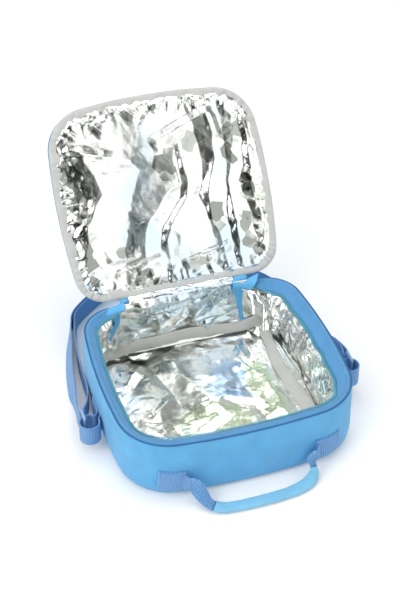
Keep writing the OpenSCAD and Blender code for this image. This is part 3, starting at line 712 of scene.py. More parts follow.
FLOOR_FOIL_PAINTED_REFLECTIONS = [  # painted reflections on the floor's foil, a dark grey spot, a blue one and two pale green ones: middle, radii (m), tone
    ((-0.044, 0.034, 0.01), (0.034, 0.062, 0.03), (0.50, 0.52, 0.50)),
    ((0.026, 0.020, 0.01), (0.030, 0.030, 0.03), (0.55, 0.68, 0.86)),
    ((-0.008, -0.036, 0.01), (0.040, 0.032, 0.03), (0.86, 0.95, 0.76)),
    ((0.052, -0.012, 0.01), (0.016, 0.060, 0.03), (0.80, 0.90, 0.72)),
]
LID_FOIL_PAINTED_REFLECTIONS = [  # painted dark reflections on the lid's foil: x, y and radii on the closed lid (mm), tone
    (86, -52, 14, 13, 0.50), (36, -49, 22, 7, 0.62), (50, 34, 8, 15, 0.38), (82, 48, 11, 8, 0.42),
    (85, 72, 7, 11, 0.36), (74, -26, 6, 10, 0.36), (91, 8, 6, 13, 0.28), (-54, 50, 17, 6, 0.46),
    (-30, 84, 18, 9, 0.44), (6, -27, 9, 14, 0.36), (-89, -30, 10, 32, 0.34), (-92, 50, 7, 38, 0.36),
    (22, 78, 11, 6, 0.52),
]


def placed_lid_reflections():
    """The lid's painted dark reflections, placed where the open lid holds them"""
    body = sizes(bpy.context.scene.lunch_body)
    out = []
    for x, y, along, across, tone in LID_FOIL_PAINTED_REFLECTIONS:
        middle = opened([[x, y, body.height + body.lid_rise - 2]], body)[0] * MM
        out.append((tuple(middle), (along * MM, across * MM, across * MM), (tone, tone * 1.03, tone * 0.98)))
    return out


MAKERS = {
    "shell_fabric": lambda name, c: woven(name, c.shell, mapped=True),
    "lid_fabric": lambda name, c: woven(name, c.shell),
    "tape_fabric": lambda name, c: woven(name, c.tape, pitch=0.0007, mapped=True, depth=0.0001),
    "piping_fabric": lambda name, c: woven(name, c.seam, pitch=0.0006, mapped=True),
    "corner_fabric": lambda name, c: woven(name, c.shell, pitch=0.0006, mapped=True),
    "sleeve_fabric": lambda name, c: woven(name, c.sleeve, mapped=True, roughness=0.5, sheen=0.5),
    "ribbed_webbing": lambda name, c: ribbed(name, c.webbing),
    "lid_binding_fabric": lambda name, c: woven(name, c.lid_binding, 0.0008, True, 0.0001, 0.03),
    "floor_binding_fabric": lambda name, c: woven(name, c.floor_binding, 0.0008, True, 0.0001, 0.03),
    "lining_foil": lambda name, c: crinkled_foil(name, c.foil, 0.3, 0.6, FLOOR_FOIL_PAINTED_REFLECTIONS),
    "lid_lining_foil": lambda name, c: crinkled_foil(name, c.foil, 0.4, 0.0, placed_lid_reflections(), 0.25, 105.0),
    "coil_plastic": lambda name, c: moulded(name, c.coil, 0.35),
    "thread": lambda name, c: moulded(name, tuple(v * 1.15 for v in c.webbing), 0.6),
    "ring_plastic": lambda name, c: moulded(name, c.plastic, 0.18, 0.3),
    "zip_paint": lambda name, c: moulded(name, c.webbing, 0.3),
    "cell_foam": lambda name, c: foam_material(name, (0.82, 0.81, 0.76)),
}
made = {}  # the materials so far, by name


def finish(name):
    """The named material, made once"""
    if name not in made:
        made[name] = MAKERS[name](name, bpy.context.scene.lunch_colours)
    return made[name]


def dress_nodes(material, *nodes):
    """Gives carried-over nodes a material"""
    for name in nodes:
        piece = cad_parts[name]
        piece.data.materials.clear()
        piece.data.materials.append(finish(material))


# ---- the tub ----

FOLDS = [  # soft dents in the front wall: from (along, height) to (along, height), depth, width
    (62, 34, 18, 10, 1.6, 9), (-60, 30, -20, 34, 1.3, 9), (-98, 20, -128, 34, 0.9, 12),
    (104, 22, 130, 36, 0.9, 12), (0, 52, 40, 40, 0.6, 14),
]
REAR_SEAMS = (-70, 70)  # where the rear wall is sewn to the side wall: x of the grooves
PIPING_GAP, ZIP_GAP = 68, 72  # half of the hinge's width that the piping and the zip leave free


def wall_swell(points, s, z, body, line):
    """How far the padded wall stands out of its outline at distance s and height z"""
    edge = np.clip((z - 2) / 10, 0, 1) * np.clip((body.height - z) / 12, 0, 1)
    share = np.clip((z - 3) / (body.height - 4), 0, 1)
    swell = body.wall_bulge * np.sin(np.pi * share) ** 0.8
    x, y = points[..., 0], points[..., 1]
    swell = swell + edge * 0.9 * wave_noise(x + 0.8 * z, y - 0.6 * z, 44, 3)
    swell = swell + edge * 0.35 * wave_noise(x - 1.1 * z, y + 0.9 * z, 19, 7)
    signed = line.signed(s)
    for s0, z0, s1, z1, depth, width in FOLDS:
        run, climb = s1 - s0, z1 - z0
        along = np.clip(((signed - s0) * run + (z - z0) * climb) / (run ** 2 + climb ** 2), 0, 1)
        away = np.hypot(signed - s0 - along * run, z - z0 - along * climb)
        swell = swell - edge * depth * bell(away, 0, width)
    for seam_x in REAR_SEAMS:
        away = np.where(y > 60, np.abs(x - seam_x), 99)
        swell = swell - edge * 0.9 * bell(away, 0, 1.6)
    return swell


def wall_point(s, z, out, body, line):
    """Points out millimetres off the wall's outer face"""
    s, z = np.broadcast_arrays(np.asarray(s, float), np.asarray(z, float))
    points, normals = line.stations(s)
    swell = wall_swell(points, s % line.total, z, body, line)
    xy = points + normals * (swell + out)[:, None]
    return np.column_stack([xy, z]), np.column_stack([normals, np.zeros(len(s))])


class LUNCHBOX_OT_tub(bpy.types.Operator):
    """Padded fabric tub with its turned base edge, and the piping round its rim"""
    bl_idname = "lunchbox.tub"
    bl_label = "Tub"

    def execute(self, context):
        body = sizes(context.scene.lunch_body)
        line = Outline(body)
        count = 420
        s, points, normals = line.all_round(count)
        edge, height = body.edge_radius, body.height
        foot = points - normals * edge

        def ring(inset, z, thin=0.0):
            level = np.full(count, float(z))
            swell = wall_swell(points, s, level, body, line) if z > edge else np.zeros(count)
            xy = points + normals * (swell - inset - thin)[:, None]
            return np.column_stack([xy, level])

        def base(share, z):
            return np.column_stack([foot * share, np.full(count, float(z))])

        rows = [base(f, 0) for f in (0.02, 0.2, 0.4, 0.58, 0.72, 0.83, 0.91, 0.96, 0.99)]
        rows += [ring(edge * (1 - math.sin(a)), edge * (1 - math.cos(a))) for a in np.linspace(0, math.pi / 2, 8)]
        rows += [ring(0, z) for z in np.linspace(edge + 1.5, height - 1.6, 30)]
        rows += [ring(0.15, height - 0.8), ring(0.5, height - 0.2), ring(1.0, height - 0.8)]
        rows += [ring(0, z, 1.0) for z in np.linspace(height - 3, edge + 1, 12)]
        rows += [ring(1 + (edge - 1) * (1 - math.sin(a)), 1 + (edge - 1) * (1 - math.cos(a)))
                 for a in np.linspace(math.pi / 2, 0, 5)]
        rows += [base(f, 1) for f in (0.9, 0.6, 0.3, 0.02)]
        grid = np.array(rows)
        steps = np.linalg.norm(np.diff(grid, axis=0), axis=2).max(1)
        climb = np.concatenate([[0], np.cumsum(steps)]) * MM
        shell = loft("tub_shell", grid, u=climb, v=np.arange(count + 1) * line.total / count * MM)
        dress(shell, finish("shell_fabric"), "tub", ("side_wall", "rear_wall", "base_panel"))

        run = line.half - PIPING_GAP
        s = np.linspace(-run, run, 560)
        points, normals = line.stations(s)
        wobble = 0.12 * ripple(s, 9, 4)
        path = np.column_stack([points - normals * (0.75 + wobble)[:, None], height + 0.35 + wobble])
        # painted shade: the cord's dark seam colour draws the shaded fold line along the rim seam
        piping = tube("rim_piping_cord", path, 0.75, 8)
        dress(piping, finish("piping_fabric"), "tub", ("rim_piping",))
        return {"FINISHED"}


# ---- the foil lining and what binds it ----

FLOOR_GRID, WALL_ROWS, LID_GRID = 132, 40, 196  # points along each side of a foil's grid, and up the walls
FILM = 0.0004                                   # thickness of the foil with its backing (m)
SIDE_STARTS = (95, 125)  # the front gives way to a side over this run, from the middle of the front (mm)
SIDE_ENDS, REAR_STARTS = (84, 70), (76, 66)  # and the side to the rear, from the middle of the rear (mm)


def square_patch(line, n):
    """Distances round the outline of the border of an n by n grid, from the front left corner"""
    front_s = line.lengths[0] + line.lengths[1] / 2
    rear_s = line.half - line.lengths[4] - line.lengths[3] / 2
    t = np.linspace(0, 1, n - 1, endpoint=False)
    front = -front_s + 2 * front_s * t
    right = front_s + (rear_s - front_s) * t
    rear = rear_s + 2 * (line.half - rear_s) * t
    left = line.total - rear_s + (rear_s - front_s) * t
    return np.concatenate([front, right, rear, left]) % line.total


def patch_points(ring, centre, n):
    """Fills the closed ring of 4(n-1) points with a square grid that shrinks towards the centre"""
    m = n - 1
    across, deep = np.meshgrid(np.arange(n), np.arange(n), indexing="ij")
    u, v = 2 * across / m - 1, 2 * deep / m - 1
    r = np.maximum(np.abs(u), np.abs(v))
    safe = np.where(r > 0, r, 1)
    pu, pv = u / safe, v / safe
    bottom = (pv <= -1 + 1e-9)
    right = (pu >= 1 - 1e-9) & ~bottom
    top = (pv >= 1 - 1e-9) & ~bottom & ~right
    pos = np.select([bottom, right, top], [(pu + 1) / 2 * m, m + (pv + 1) / 2 * m, 2 * m + (1 - pu) / 2 * m],
                    3 * m + (1 - pv) / 2 * m)
    total = 4 * m
    low = np.floor(pos).astype(int) % total
    frac = (pos - np.floor(pos))[..., None]
    rim = ring[low] * (1 - frac) + ring[(low + 1) % total] * frac
    return centre + (rim - centre) * r[..., None], r


def rim_growth(signed, right, left):
    """How much wider the facing inside the rim is at the sides, with its wavy edge"""
    return (6.0 * right + 1.5 * left) * (1 + 0.22 * ripple(signed, 15, 17))


def rim_sides(line, around):
    """Signed distance round the outline, and how far each place belongs to the rear, right or left side"""
    signed = line.signed(around)
    rear = ease(*(line.half - reach for reach in REAR_STARTS), np.abs(signed))
    before_rear = 1 - ease(*(line.half - reach for reach in SIDE_ENDS), np.abs(signed))
    return signed, rear, ease(*SIDE_STARTS, signed) * before_rear, ease(*SIDE_STARTS, -signed) * before_rear


def lining_shape(line, body, around):
    """Where the lining's top edge and foot lie, at each distance round the outline"""
    signed, rear, right, left = rim_sides(line, around)
    top_in = (10.8 + rim_growth(signed, right, left)) * (1 - rear) + 4.8 * rear
    top_z = (body.height - 2.0 - 3.6 * right - 2.6 * left) * (1 - rear) + (body.height + 5.5) * rear
    foot_in = 12.5 * (1 - rear) + 15.5 * rear + 13 * right
    foot_z = 6.6 * (1 - rear) + 11.5 * rear
    return signed, rear, right, top_in, top_z, foot_in, foot_z


# Creases of the floor's foil from left to right, as for the lid
FLOOR_DEPTHS = (-90, -50, -20, 10, 40, 70, 90)
FLOOR_FOLDS = [
    ((-70, -68, -64, -60, -62, -66, -70), (3, 3.6, 4, 4.2, 4, 3.5, 2.5)),
    ((-42, -40, -36, -36, -42, -50, -54), (1.5, 1.2, 1, 1, 1.2, 1.5, 1)),
    ((20, 12, 2, -11, -20, -26, -29), (4, 5.2, 5.8, 6.4, 6.2, 5.5, 3.5)),
    ((46, 42, 38, 34, 31, 30, 30), (1.5, 1.6, 2, 2.2, 2.2, 2, 1.5)),
    ((64, 62, 60, 59, 58, 57, 56), (3.4, 4, 4.4, 4.4, 4.2, 3.6, 2)),
    ((74, 73, 71, 70, 69, 68, 67), (0.8, 0.8, 0.8, 0.8, 0.8, 0.8, 0.8)),
    ((82, 80, 78, 76, 75, 74, 73), (3, 3, 3, 3, 3, 2.6, 2)),
]
FLOOR_LINES = [
    ((-84, 44), (-56, 76), 1.8, 8, 12), ((-70, -10), (-40, 20), 1.4, 9, 6), ((-30, 64), (10, 84), 1.0, 8, 14),
    ((0, 30), (40, 44), 1.4, 7, 12), ((8, 4), (46, -14), 1.6, 8, 10), ((40, 60), (52, 20), 1.4, 5, 8),
    ((-50, -40), (-4, -26), 1.2, 8, 16), ((24, -44), (60, -30), 1.2, 6, 10),
]


class LUNCHBOX_OT_lining(bpy.types.Operator):
    """Crumpled foil over the floor and walls, with its bound foot and corner seams"""
    bl_idname = "lunchbox.lining"
    bl_label = "Lining"

    def execute(self, context):
        body = sizes(context.scene.lunch_body)
        line = Outline(body)
        wall = self.wall_points(body, line)
        self.skin(self.floor_points(body, wall[0]), wall)
        self.floor_binding()
        self.corner_seams()
        self.padding(body, line)
        return {"FINISHED"}

    def wall_points(self, body, line):
        """Rows of points on the walls' foil, from its foot up to the rim, gathered at the corners"""
        around = square_patch(line, FLOOR_GRID)
        points, normals = line.stations(around)
        signed, rear, right, top_in, top_z, foot_in, foot_z = lining_shape(line, body, around)
        t = np.linspace(0, 1, WALL_ROWS)[:, None]
        inset = foot_in * (1 - t) + top_in * t
        inset = inset + np.sin(np.pi * t) * (-2.2 * (1 - right) + 1.0 * right)
        z = foot_z * (1 - t) + top_z * t
        seam = line.half + 84  # the noise starts again here, under the left corner seam
        u = np.broadcast_to(np.where(around > seam, around - line.total, around), inset.shape)
        edge = np.clip(t * 6, 0, 1) * np.clip((1 - t) * 9, 0.12, 1)
        swell = facets(u, z, 26, 0.34, 5) + 0.8 * facets(u, z, 11, 0.30, 15) + 0.5 * facets(u, z, 5.5, 0.26, 25)
        pleat = np.abs(wave_noise(u, z * 0.16, 5.2, 33)) * 2.0
        pleat = pleat * np.clip((t - 0.5) / 0.4, 0, 1) * np.clip((1 - t) * 14, 0.5, 1)
        corner = bell(np.abs(signed), FRONT_CORNER, 26) + bell(np.abs(signed), REAR_CORNER, 26)
        gather = corner * np.abs(wave_noise(u, z * 0.12, 8.5, 44)) * 3.0
        gather = gather * np.clip(t * 3, 0, 1) * np.clip((1 - t) * 8, 0, 1)
        out = body.crumple * (edge * (swell + 1.2) + pleat + gather)
        least = 6.2 - 2.0 * rear
        inset = np.maximum(inset + np.clip(out, -3.0, 9.0), least)
        return np.stack([points[:, 0] - normals[:, 0] * inset, points[:, 1] - normals[:, 1] * inset, z], -1)

    def floor_points(self, body, foot):
        """A square grid of points on the floor's foil, which meets the foot of the walls"""
        flat, r = patch_points(foot[:, :2], np.array([0.0, 4.0]), FLOOR_GRID)
        x, y = flat[..., 0], flat[..., 1]
        foot_z, _ = patch_points(foot[:, 2:], np.array([7.0]), FLOOR_GRID)
        foot_z = foot_z[..., 0]
        near = np.clip((1 - r) * 9, 0, 1)
        folds = creased(x, y, FLOOR_DEPTHS, FLOOR_FOLDS, 100)
        for start, end, height, width, other in FLOOR_LINES:
            folds = folds + fold_line(x, y, start, end, height, width, other)
        lift = facets(x, y * 0.8, 28, 0.10, 61) + facets(x, y * 0.9, 13, 0.06, 65)
        lift = lift + facets(x, y, 6.5, 0.10, 71) * (0.25 + ease(0.6, 0.95, r))
        z = foot_z * (1 - near) + near * (6.6 + body.crumple * (folds + lift))
        # kept low beside the binding, along the rear and down the right side
        cap = 7.0 + 16 * ease(0, 1, (86 - y) / 26) * ease(0, 1, (72 - x) / 10) + 4.0 * ease(70, 84, y)
        z = np.clip(z, 6.0, np.maximum(cap, 7.0))
        return np.stack([x, y, np.where(r > 0.999, foot_z, z)], -1)

    def skin(self, floor, wall):
        """One sheet of foil over the floor and up the walls, with its shiny face to the inside"""
        n, sides = FLOOR_GRID, 4 * (FLOOR_GRID - 1)
        index = np.arange(n * n).reshape(n, n)
        # the grid's border, walked like the wall's stations
        border = np.concatenate([index[:-1, 0], index[-1, :-1], index[::-1, -1][:-1], index[0, ::-1][:-1]])
        upper = n * n + np.arange((WALL_ROWS - 1) * sides).reshape(WALL_ROWS - 1, sides)
        rows = np.vstack([border, upper])
        a, b = rows[:-1], rows[1:]
        wall_faces = np.stack([a, np.roll(a, -1, 1), np.roll(b, -1, 1), b], -1).reshape(-1, 4)
        points = np.vstack([floor.reshape(-1, 3), wall[1:].reshape(-1, 3)])
        faces = np.vstack([grid_faces(n, n)[0], wall_faces])
        foil = new_piece("foil_lining", points, faces.tolist(), recalc=False)
        bm = bmesh.new()
        bm.from_mesh(foil.data)
        bmesh.ops.recalc_face_normals(bm, faces=bm.faces)
        bm.faces.ensure_lookup_table()
        middle = min(bm.faces, key=lambda f: f.calc_center_median().xy.length)
        if middle.normal.z < 0:
            bmesh.ops.reverse_faces(bm, faces=bm.faces)
        bm.to_mesh(foil.data)
        bm.free()
        apply_modifier(foil, "SOLIDIFY", thickness=FILM, offset=-1.0, use_rim=True)
        dress(foil, finish("lining_foil"), "tub", ("base_liner", "wall_liner", "rear_liner"))

    def padding(self, body, line):
        """Foam inside the walls and under the floor, out of sight"""
        s, points, normals = line.all_round(160)

        def ring(inset, z, share=1.0):
            return np.column_stack([(points - normals * inset) * share, np.full(len(s), float(z))])

        top = body.height - 5
        walls = loft("wall_padding", np.array([ring(1.8, 10), ring(1.8, top), ring(4.8, top), ring(4.8, 10)]),
                     close_rows=True)
        dress(walls, finish("cell_foam"), "tub", ("wall_foam", "rear_foam"))
        floor = loft("floor_padding", slab_rows(ring, 10, 4.6, 1.4))
        dress(floor, finish("cell_foam"), "tub", ("base_foam",))

    def floor_binding(self):
        """Grey bound seam that lies along the rear foot, round its corners and down the right side"""
        middle = [(-97, 66, 13), (-99.5, 80, 16), (-97, 90, 19), (-90, 93.5, 14.5), (-80, 93.8, 13), (-69, 93, 18.5),
                  (-58, 92.8, 20.5), (-40, 92.8, 20.6), (-13, 93, 21.3), (14, 93, 20.6), (44, 92.8, 18.6),
                  (58, 92, 17.8), (68, 92.6, 19), (75, 93.5, 20), (82, 91, 15.5), (81.5, 78, 11), (80, 58, 9.8),
                  (78, 28, 9.6), (81, 0, 9.4), (84, -26, 9.2), (85, -48, 9), (82, -62, 9)]
        wide = [(0.3, 0, 1), (0.5, -0.1, 1), (0.4, 0.5, 1), (0, 0.7, 0.9), (0.05, 0.9, 0.35), (0, 0.7, 0.9),
                (0, 0.42, 1), (0, 0.42, 1), (0, 0.42, 1), (0, 0.45, 1), (0, 0.6, 0.8), (0, 0.75, 0.7),
                (0.05, 0.55, 0.9), (0.35, 0.6, 0.9), (0.95, 0.3, 0.5), (1, 0, 0.45), (1, 0, 0.42), (1, 0, 0.38),
                (1, 0, 0.34), (1, 0, 0.3), (1, 0, 0.3), (1, 0, 0.3)]
        path = smooth_line(middle, 14)
        across = smooth_line(wide, 14)
        s = distances(path)
        path[:, 2] += 0.7 * ripple(s, 13, 8)
        path[:, 1] += 0.8 * ripple(s, 17, 9)
        _, over, through = frames(path, across)
        widths = 11.2 + 1.0 * ripple(s, 22, 10) + 2.5 * ease(230, 330, s)
        rows = []
        for i in range(len(path)):
            section = strip_section(widths[i], 1.7, 7)
            curl = 1.1 * np.cos(section[:, 0] / widths[i] * math.pi)
            curl = curl + 0.25 * wave_noise(np.full(len(section), s[i]), section[:, 0], 4.0, 12)
            rows.append(path[i] + section[:, :1] * over[i] + (section[:, 1:] + curl[:, None]) * through[i])
        v = np.append(section[:, 0], section[0, 0]) * MM
        binding = loft("floor_binding", np.array(rows), v=v)
        dress(binding, finish("floor_binding_fabric"), "tub", ("base_seam_binding",))

    def corner_seams(self):
        """Blue bound seams that run down the rear corners from the ends of the zip"""
        runs = {  # middle line from the rear wall over the rim and down, widths along it, lean of the width
            "left": ([(-77, 108.2, 62.5), (-77, 107.4, 65.8), (-78, 103, 66.7), (-79, 98.6, 64.3),
                      (-76.5, 98.6, 59), (-75, 98.3, 52), (-79, 97.6, 43), (-84, 97, 36), (-85.5, 96.4, 31),
                      (-85, 96, 27), (-89.5, 95.2, 22), (-91, 94.4, 18)],
                     [26, 26, 26, 20, 10, 5.5, 5, 5.5, 6, 5, 6.5, 7], 0.22),
            "right": ([(69, 108.2, 63.6), (67, 107.2, 66.8), (63, 103.4, 67.6), (59, 100.2, 65.0),
                       (57, 99.9, 60), (57.5, 99.8, 54), (58, 99, 46), (58.8, 98.2, 37), (59.5, 97.6, 30),
                       (61.5, 97, 25), (66, 96.2, 20.5), (69, 95, 18.5)],
                      [30, 30, 26, 19, 13, 9, 6.5, 5.4, 5.2, 7, 10, 8], 0.02),
        }
        for side, (points, widths, tilt) in runs.items():
            path = smooth_line(points, 8)
            width = np.interp(np.arange(len(path)) / 8, np.arange(len(widths)), widths)
            strip = webbing_strip("corner_seam_" + side, path, np.broadcast_to([1.0, 0, tilt], path.shape),
                                  width, 1.2)
            dress(strip, finish("corner_fabric"), "tub", ("corner_binding_" + side,))


# ---- the zip ----

TOOTH_PITCH = 1.7  # from tooth to tooth (mm)


def tooth_shape():
    """One moulded zip tooth, made by hand: a cube, its head inset and pushed out, edges bevelled"""
    deselect()
    bpy.ops.mesh.primitive_cube_add(size=1.0, location=(0, 0, 0))
    tooth = bpy.context.active_object
    tooth.scale = (2.9, 1.05, 2.2)  # length, breadth and height (mm)
    bpy.ops.object.transform_apply(location=False, rotation=False, scale=True)
    bpy.ops.object.mode_set(mode="EDIT")
    bpy.ops.mesh.select_mode(type="FACE")
    bpy.ops.mesh.select_all(action="DESELECT")
    bm = bmesh.from_edit_mesh(tooth.data)
    for face in bm.faces:
        face.select_set(face.normal.x < -0.9)
    bmesh.update_edit_mesh(tooth.data)
    bpy.ops.mesh.inset(thickness=0.22)
    bpy.ops.transform.translate(value=(-0.35, 0, 0))
    bpy.ops.object.mode_set(mode="OBJECT")
    apply_modifier(tooth, "BEVEL", width=0.2, segments=1, limit_method="ANGLE")
    points = np.array([v.co for v in tooth.data.vertices])
    faces = [tuple(p.vertices) for p in tooth.data.polygons]
    bpy.data.objects.remove(tooth)
    return points, faces


def row_of_teeth(name, places, outward, up, pitch):
    """Copies of the tooth along a path, its head pointing away from outward"""
    shape, shape_faces = tooth_shape()
    s = distances(places)
    points, faces = [], []
    for position in np.arange(pitch / 2, s[-1], pitch):
        p = between(position, s, places)
        o, n = unit(between(position, s, outward)), unit(between(position, s, up))
        side = np.cross(n, o)
        base = len(points) * len(shape)
        points.append(p + shape[:, :1] * o + shape[:, 1:2] * side + shape[:, 2:] * n)
        faces += [tuple(base + i for i in f) for f in shape_faces]
    return new_piece(name, np.vstack(points), faces, recalc=False, smooth_angle=40)


class LUNCHBOX_OT_zip(bpy.types.Operator):
    """Zip tapes and teeth round the rim and round the lid, with their sliders and pulls"""
    bl_idname = "lunchbox.zip"
    bl_label = "Zip"

    def execute(self, context):
        body = sizes(context.scene.lunch_body)
        line = Outline(body)
        run = line.half - ZIP_GAP
        s = np.linspace(-run, run, 520)
        points, normals = line.stations(s)
        self.rim(body, line, s, points, normals)
        self.lid(body, s, points, normals)
        dress_nodes("zip_paint", "zip_slider_left", "zip_slider_right", "zip_pull_left", "zip_pull_right")
        return {"FINISHED"}

    def rim(self, body, line, s, points, normals):
        """The tub's half: a padded facing with a stitched groove, and teeth along its inner edge"""
        _, _, right, left = rim_sides(line, s % line.total)
        end = np.clip((s[-1] - np.abs(s)) / 20, 0, 1)
        dip = 0.5 + (4.2 * right + 3.0 * left) * end + 0.5 * ripple(s, 31, 14)
        grow = rim_growth(s, right, left)

        def place(inset, rise, share):
            xy = points - normals * (inset + grow * share)[:, None]
            return np.column_stack([xy, body.height + rise - dip * share])

        # inset, rise, and share of the facing's extra width and dip
        top = [(1.5, 0.15, 0), (1.9, 0.9, 0), (2.8, 1.4, 0.02), (4.4, 1.5, 0.08), (5.9, 1.35, 0.25),
               (6.5, 0.95, 0.35), (6.9, 0.55, 0.45), (7.5, 0.5, 0.6), (9.6, 0.15, 0.95), (10.1, -0.2, 1)]
        under = [(9.9, -0.75, 1), (8.0, -0.4, 0.65), (6.0, 0.1, 0.3), (4.2, 0.3, 0.08), (2.6, 0.2, 0.02),
                 (1.7, -0.2, 0)]
        tape = loft("rim_tape", np.stack([place(*row) for row in top + under], 1), u=(s - s[0]) * MM)
        dress(tape, finish("tape_fabric"), "tub", ("zip_tape_body",))

        facing = np.column_stack([-normals * 0.15, np.ones(len(s))])
        thread = stitches("rim_stitching", [(place(5.2, 1.5, 0.16), facing)], radius=0.2)
        dress(thread, finish("piping_fabric"), "tub")

        reach = 9  # over which the facing dips
        outward = unit(np.column_stack([normals * reach, dip]))
        up = unit(np.column_stack([-normals * (dip / reach)[:, None], np.ones(len(s))]))
        teeth = row_of_teeth("rim_teeth", place(11.2, -0.3, 1.08), outward, up, TOOTH_PITCH)
        dress(teeth, finish("coil_plastic"), "tub", ("zip_coil_body",))

    def lid(self, body, s, points, normals):
        """The lid's half: tape turned over the lid's edge, with its teeth on the outer face"""
        top = body.height + body.lid_rise + body.lid_thickness
        coil = top + 2.7
        section = [  # inset, height, share of the bulge
            (7.9, top - 6.2, 0), (8.05, top - 3, 0.7), (7.95, top - 0.5, 1), (8.15, coil - 1.2, 0.8),
            (8.8, coil - 0.2, 0.5), (10, coil + 0.35, 0.2), (13, coil + 0.4, 0), (17.1, coil + 0.3, 0),
            (17.1, coil - 0.4, 0), (13, coil - 0.4, 0), (10.2, coil - 0.45, 0.2), (9.3, coil - 0.9, 0.5),
            (8.9, coil - 1.6, 0.8), (8.8, top - 0.5, 1), (8.9, top - 3, 0.7), (8.7, top - 6.2, 0)]
        wave = 0.25 * ripple(s, 24, 15)
        bulge = 0.8 + 0.8 * ease(60, 100, -s) + 0.7 * bell(s, -128, 36)
        grid = np.stack([np.column_stack([points - normals * (inset - bulge * share + wave)[:, None],
                                          np.full(len(s), z) + wave]) for inset, z, share in section], 1)
        tape = loft("lid_tape", opened(grid, body), u=(s - s[0]) * MM)
        dress(tape, finish("tape_fabric"), "lid", ("zip_tape_lid",))

        seat = np.column_stack([points - normals * 18.0, np.full(len(s), coil)])
        tip = np.column_stack([points - normals * 17.0, np.full(len(s), coil)])
        seat, tip, above = opened(seat, body), opened(tip, body), opened(seat + np.array([0, 0, 1.0]), body)
        teeth = row_of_teeth("lid_teeth", seat, tip - seat, above - seat, TOOTH_PITCH)
        dress(teeth, finish("coil_plastic"), "lid", ("zip_coil_lid",))


# ---- the lid ----

# Creases of the lid's foil from left to right: x and height at each of these depths
FOLD_DEPTHS = (-90, -60, -40, -25, -5, 10, 25, 40, 60, 90)
LID_FOLDS = [
    ((-100, -100, -94, -92, -95, -99, -101, -102, -103, -104), (0.5, 0.5, 1, 1, 1, 0.8, 0.6, 0.6, 0.6, 0.5)),
    ((-88, -84, -77, -71, -66, -78, -86, -90, -96, -98), (2, 3, 5.5, 6.5, 6.5, 5.5, 5, 4.5, 4, 1.5)),
    ((-48, -40, -36, -22, -33, -39, -45, -50, -53, -60), (1.5, 1.2, 1, 1.2, 1, 0.8, 0.8, 1, 1, 0.5)),
    ((-15, -12, 4, 12, 15, -6, -19, -28, -32, -30), (2.5, 3, 4.5, 5.5, 6.2, 5.5, 5, 4.5, 4, 2)),
    ((8, 12, 19, 18.5, 17, 13, -1, -10, -16, -12), (3, 2.5, 3, 3.5, 4.2, 2.2, 1.5, 1, 1.5, 1)),
    ((18, 24, 24, 22, 25, 21, 8, -3, -10, -4), (3, 3, 4, 5, 6, 5, 5, 4, 2.5, 1.5)),
    ((35, 42, 45, 45, 41, 35, 40, 42, 43, 40), (1, 1.5, 1.8, 1.5, 1.2, 1, 1.5, 2.4, 2, 1)),
    ((52, 60, 60, 58, 50, 46, 44.5, 46, 50, 52), (3, 5, 5.5, 5.5, 5, 5, 4, 3.2, 3, 2)),
    ((70, 72, 71, 70, 67, 65, 63.5, 61, 61, 62), (1, 1, 1.5, 1.5, 2, 2, 1.5, 1, 0.8, 0.5)),
    ((80, 84, 82, 78, 71, 68, 69, 68.5, 68.5, 69), (3, 3.5, 3.5, 3.2, 3, 3, 4, 4, 4, 2)),
    ((90, 91, 91, 90, 84, 81, 84, 87, 88, 86), (1, 1, 1, 1, 1, 1, 1, 1, 1, 0.5)),
    ((97, 98, 98, 95, 95, 94, 95, 97, 98, 98), (2.5, 3, 3, 3, 3.5, 3.5, 3, 3, 3, 1.5)),
]
# Folds across them: start, end, height, width on each side
LID_LINES = [
    ((-94, -58), (-44, -40), 1.6, 9, 5), ((-4, -50), (62, -74), 2.0, 8, 12), ((62, -76), (66, -44), 1.5, 6, 9),
    ((-72, 62), (-40, 60), 1.5, 10, 5), ((-70, 78), (-14, 66), 1.6, 6, 10), ((6, 78), (60, 66), 1.4, 5, 11),
    ((-66, -84), (-50, -66), 1.8, 6, 8), ((-30, -92), (-14, -78), 1.8, 5, 8), ((-60, 6), (-40, 10), 1.0, 4, 7),
    ((72, 40), (96, 56), 1.4, 6, 8), ((70, -46), (96, -52), 1.2, 5, 12),
]


